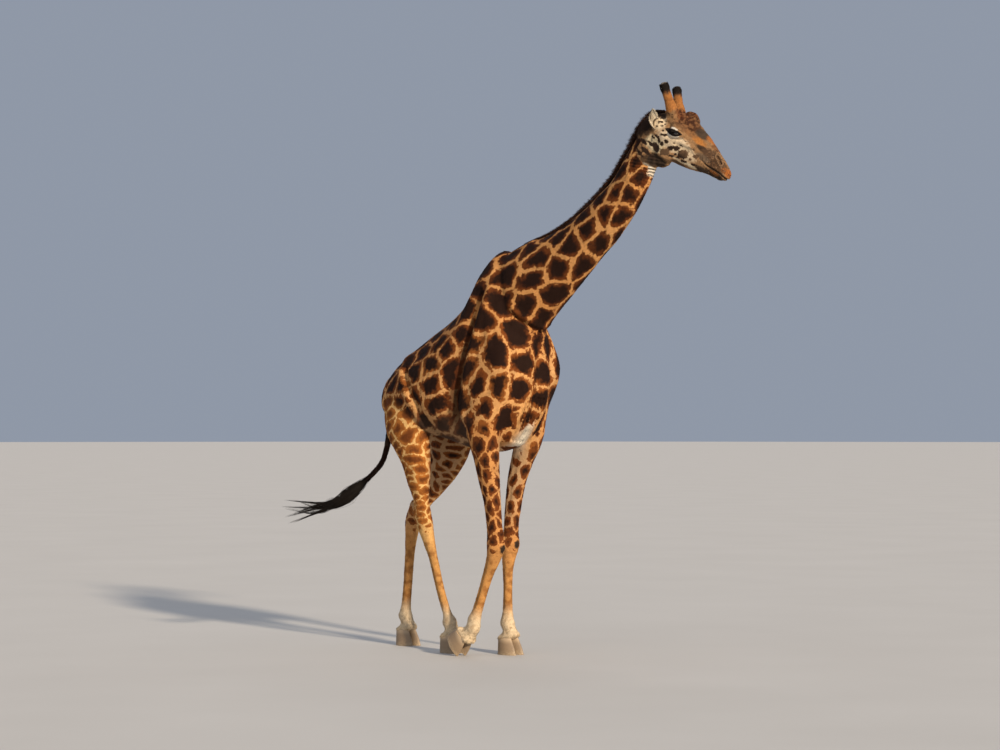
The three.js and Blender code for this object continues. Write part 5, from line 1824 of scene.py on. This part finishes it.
mane, mane_t, mane_off = mane_paths(int(MANE_HAIRS * few))
mane_place = np.stack([mane_t * 0.99, np.clip(0.5 + mane_off * 14, 0.01, 0.98)], 1)
strand_piece("mane_hair", mane, np.full(len(mane), MANE_WIDE), MANE, MANE_TONE_DRAW,
             mane_place, replaces=("mane",))


def tassel_paths(count):
    """Long black hair from the end of the dock: a thick smooth body, blown back in thin separate locks."""
    r = draws(TASSEL_DRAW)
    belly = np.array(TASSEL_BELLY) * MM
    dock = np.array([(-1400, -55, 1520), (-1458, -115, 1425), TASSEL_ROOT]) * MM
    steps = np.linspace(0, 1, 15)
    locks = []
    for k in range(9):
        group = k % len(TASSEL_TIPS)
        tip, other = (np.array(TASSEL_TIPS[(group + j) % len(TASSEL_TIPS)]) * MM for j in (0, 1))
        end = belly + (tip + (other - tip) * 0.45 * r.random() - belly) * (1 - 0.30 * r.random())
        sag = r.normal(0, 0.014, 3) + (0, 0, -0.034 if group < 2 else 0.004)
        locks.append((end, r.normal(0, 0.016, 3), sag, group))
    paths, marks = [], []
    for k in range(count):
        end, apart, sag, group = locks[k % len(locks)]
        back = r.random() ** 1.5
        start = spline(dock, [1 - 0.6 * back])[0] + r.normal(0, 0.008, 3)
        spread = np.clip(r.normal(0, 0.025, 3), -0.042, 0.042)
        middle = (start + belly) / 2 + spread
        at_belly = belly + spread * 0.72 + apart
        if r.random() < 0.60:
            reach, keep = r.uniform(0.03, 0.24), 0.62
            late = at_belly + (end - belly) * reach * 0.5
        else:
            reach, keep = 1 - 0.5 * r.random() ** 1.3, 0.07
            late = belly + apart + (end - belly - apart) * reach * 0.45 + sag + spread * 0.22
        tip = belly + (end - belly) * reach + (spread + apart * 0.8) * keep + r.normal(0, 0.0016, 3)
        path = spline([start, middle, at_belly, late, tip], steps)
        wave = np.sin(steps * r.uniform(3, 6) + r.uniform(0, 6)) * 0.0030 * steps
        paths.append(path + wave[:, None] * unit(r.normal(size=3)))
        marks.append((back, group))
    marks = np.array(marks)
    place = np.stack([0.02 + 0.95 * r.random(count), (marks[:, 1] + 0.05 + 0.9 * marks[:, 0]) / 5], 1)
    low_limit = np.array(CAD_BOX[0]) - SHIFT - 0.012
    return np.maximum(np.array(paths), low_limit), place


tassel, tassel_place = tassel_paths(int(TASSEL_HAIRS * (1)))
tassel_wide = draws(TASSEL_WIDTH_DRAW).uniform(*TASSEL_WIDE, len(tassel))
strand_piece("tail_tassel_hair", tassel, tassel_wide, BLACK_HAIR, TASSEL_TONE_DRAW,
             tassel_place, replaces=("tail_tassel",))


def lash_paths(side, count, upper, seed):
    """Lashes along one edge of the opening, curved down; the upper ones are longer."""
    r = draws(seed)
    axes = eye_frame(side)
    u = np.linspace(-0.93, 0.93, count) + r.normal(0, 0.02, count)
    u = np.clip(u, -0.96, 0.96) * OPEN_LONG
    sign = 1 if upper else -1
    v = sign * opening(u, upper)
    r_out = EYE_RADIUS * MM + LID * 0.8
    w = np.sqrt(np.maximum(r_out**2 - np.minimum(np.hypot(u, v), EYE_RADIUS * MM * 0.94) ** 2, 0))
    root = np.stack([u, v + sign * 0.0008, w], 1)
    length = (0.019 if upper else 0.008) * (1 + r.normal(0, 0.10, count)) * (1 - 0.45 * (u / OPEN_LONG) ** 2)
    out = unit(np.stack([u * 7 + r.normal(0, 0.10, count), np.full(count, 0.0 if upper else -0.7),
                         np.full(count, 0.75)], 1))
    drop = np.array([0, -0.95 if upper else -0.3, 0])
    steps = np.linspace(0, 1, 6)[None, :, None]
    bent = out[:, None] * (steps - 0.35 * steps**2) + drop * steps**1.5 * 0.8
    path = root[:, None] + bent * length[:, None, None]
    return from_head(path.reshape(-1, 3) @ axes + EYES[side]).reshape(count, 6, 3)


for side, word in SIDES:
    upper = lash_paths(side, UPPER_LASHES, True, UPPER_LASH_DRAW)
    lower = lash_paths(side, LOWER_LASHES, False, LOWER_LASH_DRAW)
    lashes = np.concatenate([upper, lower])
    k = np.arange(len(lashes))
    strand_piece(f"lashes_{word}", lashes, np.full(len(lashes), LASH_WIDE), BLACK_HAIR,
                 LASH_TONE_DRAW, np.stack([(k + 0.5) / len(k), np.full(len(k), 0.5)], 1), tone=(0, 0.3))


# ---------------------------------------------------------------- eyes

def eye_material():
    """A wide dark pupil in a brown-black iris, under a wet coat."""
    s = Shader("eye_wet")
    at = s.attribute("eye", "Vector")
    x, y = (s.add("SeparateXYZ", k, {0: at}) for k in (0, 1))
    wide, high = (s.math("POWER", s.math("DIVIDE", value, half), 2) for value, half in ((x, 0.62), (y, 0.30)))
    pupil = s.ramp(s.plus(wide, high), 0.7, 1.15)
    away = s.math("SQRT", s.plus(s.math("POWER", x, 2), s.math("POWER", y, 2)))
    fibres = s.noise(at, 9, 4, 0.7)
    iris = s.mixed(fibres, (0.006, 0.003, 0.002), (0.032, 0.013, 0.006))
    colour = s.mixed(pupil, (0.002, 0.0015, 0.0015), iris)
    colour = s.mixed(s.ramp(away, 0.74, 0.86), colour, (0.018, 0.011, 0.009))
    return s.finished(Base_Color=colour, Roughness=s.ramp(fibres, 0, 1, 0.05, 0.09), Coat_Weight=1.0,
                      Coat_Roughness=0.02, IOR=1.4)


EYE = eye_material()


def eyeball(side, word):
    """A wet ball that bulges a little over its iris, just clear of the socket."""
    shape = ball(40, 56, 0.02)
    bulge = 1 + 0.045 * smooth(0.72, 0.98, shape[..., 2])
    r = (EYE_RADIUS - 0.4) * MM
    points, faces = skin_rings(shape * bulge[..., None] * r)
    ob = piece(f"eyeball_{word}", from_head(points @ eye_frame(side) + EYES[side]), faces, EYE)
    add_vector(ob.data, "eye", points / r)
    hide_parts(f"eye_{word}")


for side, word in SIDES:
    eyeball(side, word)


# ---------------------------------------------------------------- ossicones

HORN_LENGTH = math.dist(OSSICONE_FOOT, OSSICONE_TIP)
# Radius of a horn and place along it, in mm, from the foot to the tip.
HORN_PROFILE = [(radius, share * HORN_LENGTH) for radius, share in (
    (OSSICONE_BASE * 0.72, -0.13), (OSSICONE_BASE * 0.70, 0.16), (OSSICONE_WAIST, 0.5),
    (OSSICONE_WAIST, 0.76), (OSSICONE_KNOB * 0.93, 0.90), (OSSICONE_KNOB * 0.84, 0.985),
    (OSSICONE_KNOB * 0.5, 1.035), (2, 1.045),
)]


def ossicone(side, word):
    """A horn core under skin: tan short hair, a black brush round the top and a bald grey knob."""
    foot, tip = horn_ends(side)
    axis = unit(tip - foot)
    profile = spline(HORN_PROFILE, np.linspace(0, 1, 44))
    a = unit(np.cross(axis, Y))
    b = np.cross(axis, a)
    lon = np.arange(48) / 48 * TAU
    ring = a[None] * np.cos(lon)[:, None] + b[None] * np.sin(lon)[:, None]
    points = foot + axis * profile[:, 1][:, None, None] + ring[None] * (profile[:, 0][:, None, None] - 1.5)
    co_o, tris_o = skin_rings(points * MM)
    n = normals_of(co_o, tris_o)
    t = (co_o / MM - foot) @ axis / HORN_LENGTH
    lumps = 1.6 * noise(co_o, 0.022, 61) + 0.8 * noise(co_o, 0.009, 62)
    lumps += 1.4 * noise(co_o, 0.016, 63) * smooth(0.9, 1, t)
    co_o = co_o + n * (lumps * MM)[:, None]
    co_w = from_head(co_o)
    n = normals_of(co_w, tris_o)
    colour = plain(HORN_TAN, len(co_w)) * (1 + 0.25 * noise(co_w, 0.03, 64))[:, None]
    blotch = smooth(-0.1, 0.5, noise(co_w, 0.024, 67)) * smooth(0.62, 0.3, t)
    colour = paint(colour, (0.15, 0.050, 0.018), 0.75 * blotch)
    ragged = t + 0.05 * noise(co_w, 0.02, 65)
    colour = paint(colour, (0.11, 0.050, 0.024), smooth(0.60, 0.70, ragged))
    colour = paint(colour, (0.014, 0.010, 0.008), smooth(0.66, 0.75, ragged))
    bald = smooth(0.975, 1.01, ragged) * (0.75 + 0.25 * noise(co_w, 0.01, 66))
    colour = paint(colour, (0.20, 0.165, 0.13), bald)
    f = along_surface(HEAD_TURN @ axis, n)
    fields = unmarked(co_w, f, n, colour)
    ob = piece(f"ossicone_{word}_horn", co_w, tris_o, SKIN)
    add_fields(ob.data, fields)
    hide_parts(f"ossicone_{word}")
    brush = smooth(0.66, 0.78, t) * smooth(1.0, 0.94, t)
    weight = (1.0 + 0.9 * brush) * smooth(1.0, 0.97, t) * smooth(0.24, 0.32, t)

    def place(root):
        v = to_head(root) / MM - foot
        h = np.clip(v @ axis / HORN_LENGTH * 0.8 + 0.12, 0.01, 0.98)
        return np.stack([np.arctan2(v @ b, v @ a) / TAU * 0.98 + 0.5, h], 1)

    source = (co_w, tris_o, n, f, fields)
    coat_piece(f"coat_ossicone_{word}", source, int(HORN_TUFTS * few), weight, 0.0085 + 0.0075 * brush,
               0.0014 * np.ones(len(co_w)), 0.16 + 0.04 * brush, HORN_DRAW + side, place)


for side, word in SIDES:
    ossicone(side, word)


# ---------------------------------------------------------------- hooves

def hoof_material():
    """Grey-brown horn with growth rings and upright fibres, dusty below and soft and pale at the coronet."""
    s = Shader("hoof_horn")
    at = s.attribute("hoof", "Vector")
    high = s.add("SeparateXYZ", 2, {0: at})
    rings = s.noise(s.stretched(at, (1, 1, 9)), 14, 4, 0.6)
    fibres = s.noise(s.stretched(at, (6, 6, 0.5)), 60, 3, 0.6)
    horn = s.mixed(rings, (0.20, 0.135, 0.080), (0.36, 0.25, 0.150))
    horn = s.mixed(s.ramp(fibres, 0.35, 0.8), horn, (0.23, 0.16, 0.10))
    dust = s.times(s.ramp(high, 0.055, 0.0), s.ramp(s.noise(at, 70, 3), 0.35, 0.65))
    horn = s.mixed(dust, horn, (0.42, 0.31, 0.19))
    horn = s.mixed(s.ramp(high, 0.085, 0.135), horn, (0.45, 0.33, 0.21))
    normal = s.bump(s.plus(rings, s.times(fibres, 0.4)), 0.5, 0.0015)
    return s.finished(Base_Color=horn, Roughness=s.ramp(rings, 0.2, 0.8, 0.42, 0.68), Normal=normal)


HOOF = hoof_material()


def claw_piece(name, foot, side, node):
    """One claw: the solid's wedge with a worn edge, growth rings and a rounded heel."""
    zs = np.concatenate([[0, 1.5, 4, 8], np.linspace(12, 150, 52)])
    table = np.array(CLAW_LEVELS, float)
    levels = []
    for z in zs:
        length, forward, wide = (np.interp(z, table[:, 0], table[:, k]) for k in (1, 2, 3))
        worn = -0.022 * (1 - min(z / 8, 1)) ** 2
        ring = 0.0045 * math.sin(z / 7.5 * TAU) * min(1, z / 14)
        levels.append((z, length + worn + ring, forward, wide + worn * 1.4 + ring * 1.5))
    points, faces = skin_rings(leg_claw(side, 56, levels))
    bm = bmesh.new()
    bm.from_mesh(mesh_of("claw", foot.place(points), faces))
    layer = bm.verts.layers.float_vector.new("hoof")
    bm.verts.ensure_lookup_table()
    for v, p in zip(bm.verts, points):
        v[layer] = Vector(p * MM + Z * STANDING_FETLOCK * MM)
    for at, up in ((foot.coronet + foot.coronet_up * 0.002, foot.coronet_up), (np.zeros(3), -Z)):
        bmesh.ops.bisect_plane(bm, geom=bm.verts[:] + bm.edges[:] + bm.faces[:], plane_co=at, plane_no=up,
                               clear_outer=True)
        rim = [e for e in bm.edges if len(e.link_faces) == 1]
        if rim:
            bmesh.ops.holes_fill(bm, edges=rim)
    bmesh.ops.triangulate(bm, faces=bm.faces[:])
    out = bpy.data.meshes.new(name)
    bm.to_mesh(out)
    bm.free()
    out.transform(Matrix.Translation(SHIFT))
    ob = linked(name, out)
    out.materials.append(HOOF)
    out.shade_smooth()
    out.set_sharp_from_angle(angle=math.radians(50))
    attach(ob, "root")
    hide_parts(node)


for leg_name, foot in feet.items():
    short = leg_name.replace("leg", "")
    for side, word in SIDES:
        claw_piece(f"claw_{short}_{word}", foot, side, f"hoof_{short}_{word}")


# ---------------------------------------------------------------- stage, light and camera

def sun_light(name, azimuth, elevation, strength, colour, angle):
    """A light from far away, from an azimuth and elevation in degrees; azimuth 0 faces the right side."""
    a, e = math.radians(azimuth), math.radians(elevation)
    towards = Vector((math.sin(a) * math.cos(e), -math.cos(a) * math.cos(e), math.sin(e)))
    light = bpy.data.lights.new(name, "SUN")
    light.energy = strength
    light.color = colour
    light.angle = math.radians(angle)
    linked(name, light).rotation_euler = towards.to_track_quat("Z", "Y").to_euler()


def floor_material():
    s = Shader("pale_floor")
    where = s.add("TexCoord", "Object", {})
    colour = s.mixed(s.noise(where, 0.6, 3), (0.52, 0.50, 0.47), (0.58, 0.56, 0.53))
    return s.finished(Base_Color=colour, Roughness=0.9)


FLOOR_HALF = 900
SKY, SKY_STRENGTH = (0.66, 0.75, 0.92), 0.42
# Lights: name, azimuth, elevation, strength, colour, angle.
LIGHTS = [
    ("low_sun", 74, 20, 4.5, (1.0, 0.85, 0.66), 3.5),
    ("fill", 10, 35, 0.30, (1.0, 0.93, 0.85), 60),
    ("back", 230, 40, 0.45, (0.95, 0.95, 1.0), 40),
]
CAMERA_DISTANCE, CAMERA_HEIGHT, CAMERA_LENS = 20.0, 1.76, 88.73
CAMERA_AZIMUTH, CAMERA_PITCH = math.radians(45), math.radians(1.465)

floor_mesh = bpy.data.meshes.new("floor")
floor_corners = [(x * FLOOR_HALF, y * FLOOR_HALF, 0) for x, y in ((-1, -1), (1, -1), (1, 1), (-1, 1))]
floor_mesh.from_pydata(floor_corners, [], [(0, 1, 2, 3)])
floor = linked("floor", floor_mesh)
floor_mesh.materials.append(floor_material())

world = bpy.data.worlds.new("studio")
world.use_nodes = True
sky = world.node_tree.nodes["Background"]
sky.inputs["Color"].default_value = (*SKY, 1)
sky.inputs["Strength"].default_value = SKY_STRENGTH
for light in LIGHTS:
    sun_light(*light)

camera_data = bpy.data.cameras.new("camera")
camera_data.sensor_width = 36.0
camera_data.lens = CAMERA_LENS
camera_data.clip_end = 2000
camera = linked("camera", camera_data)
way_out = Vector((math.sin(CAMERA_AZIMUTH), -math.cos(CAMERA_AZIMUTH), 0))
camera.location = way_out * CAMERA_DISTANCE + Vector((0, 0, CAMERA_HEIGHT)) + Vector(SHIFT)
camera.rotation_euler = (math.pi / 2 + CAMERA_PITCH, 0, CAMERA_AZIMUTH)
stage = bpy.context.scene
stage.world = world
stage.camera = camera
stage.view_settings.view_transform = "Standard"
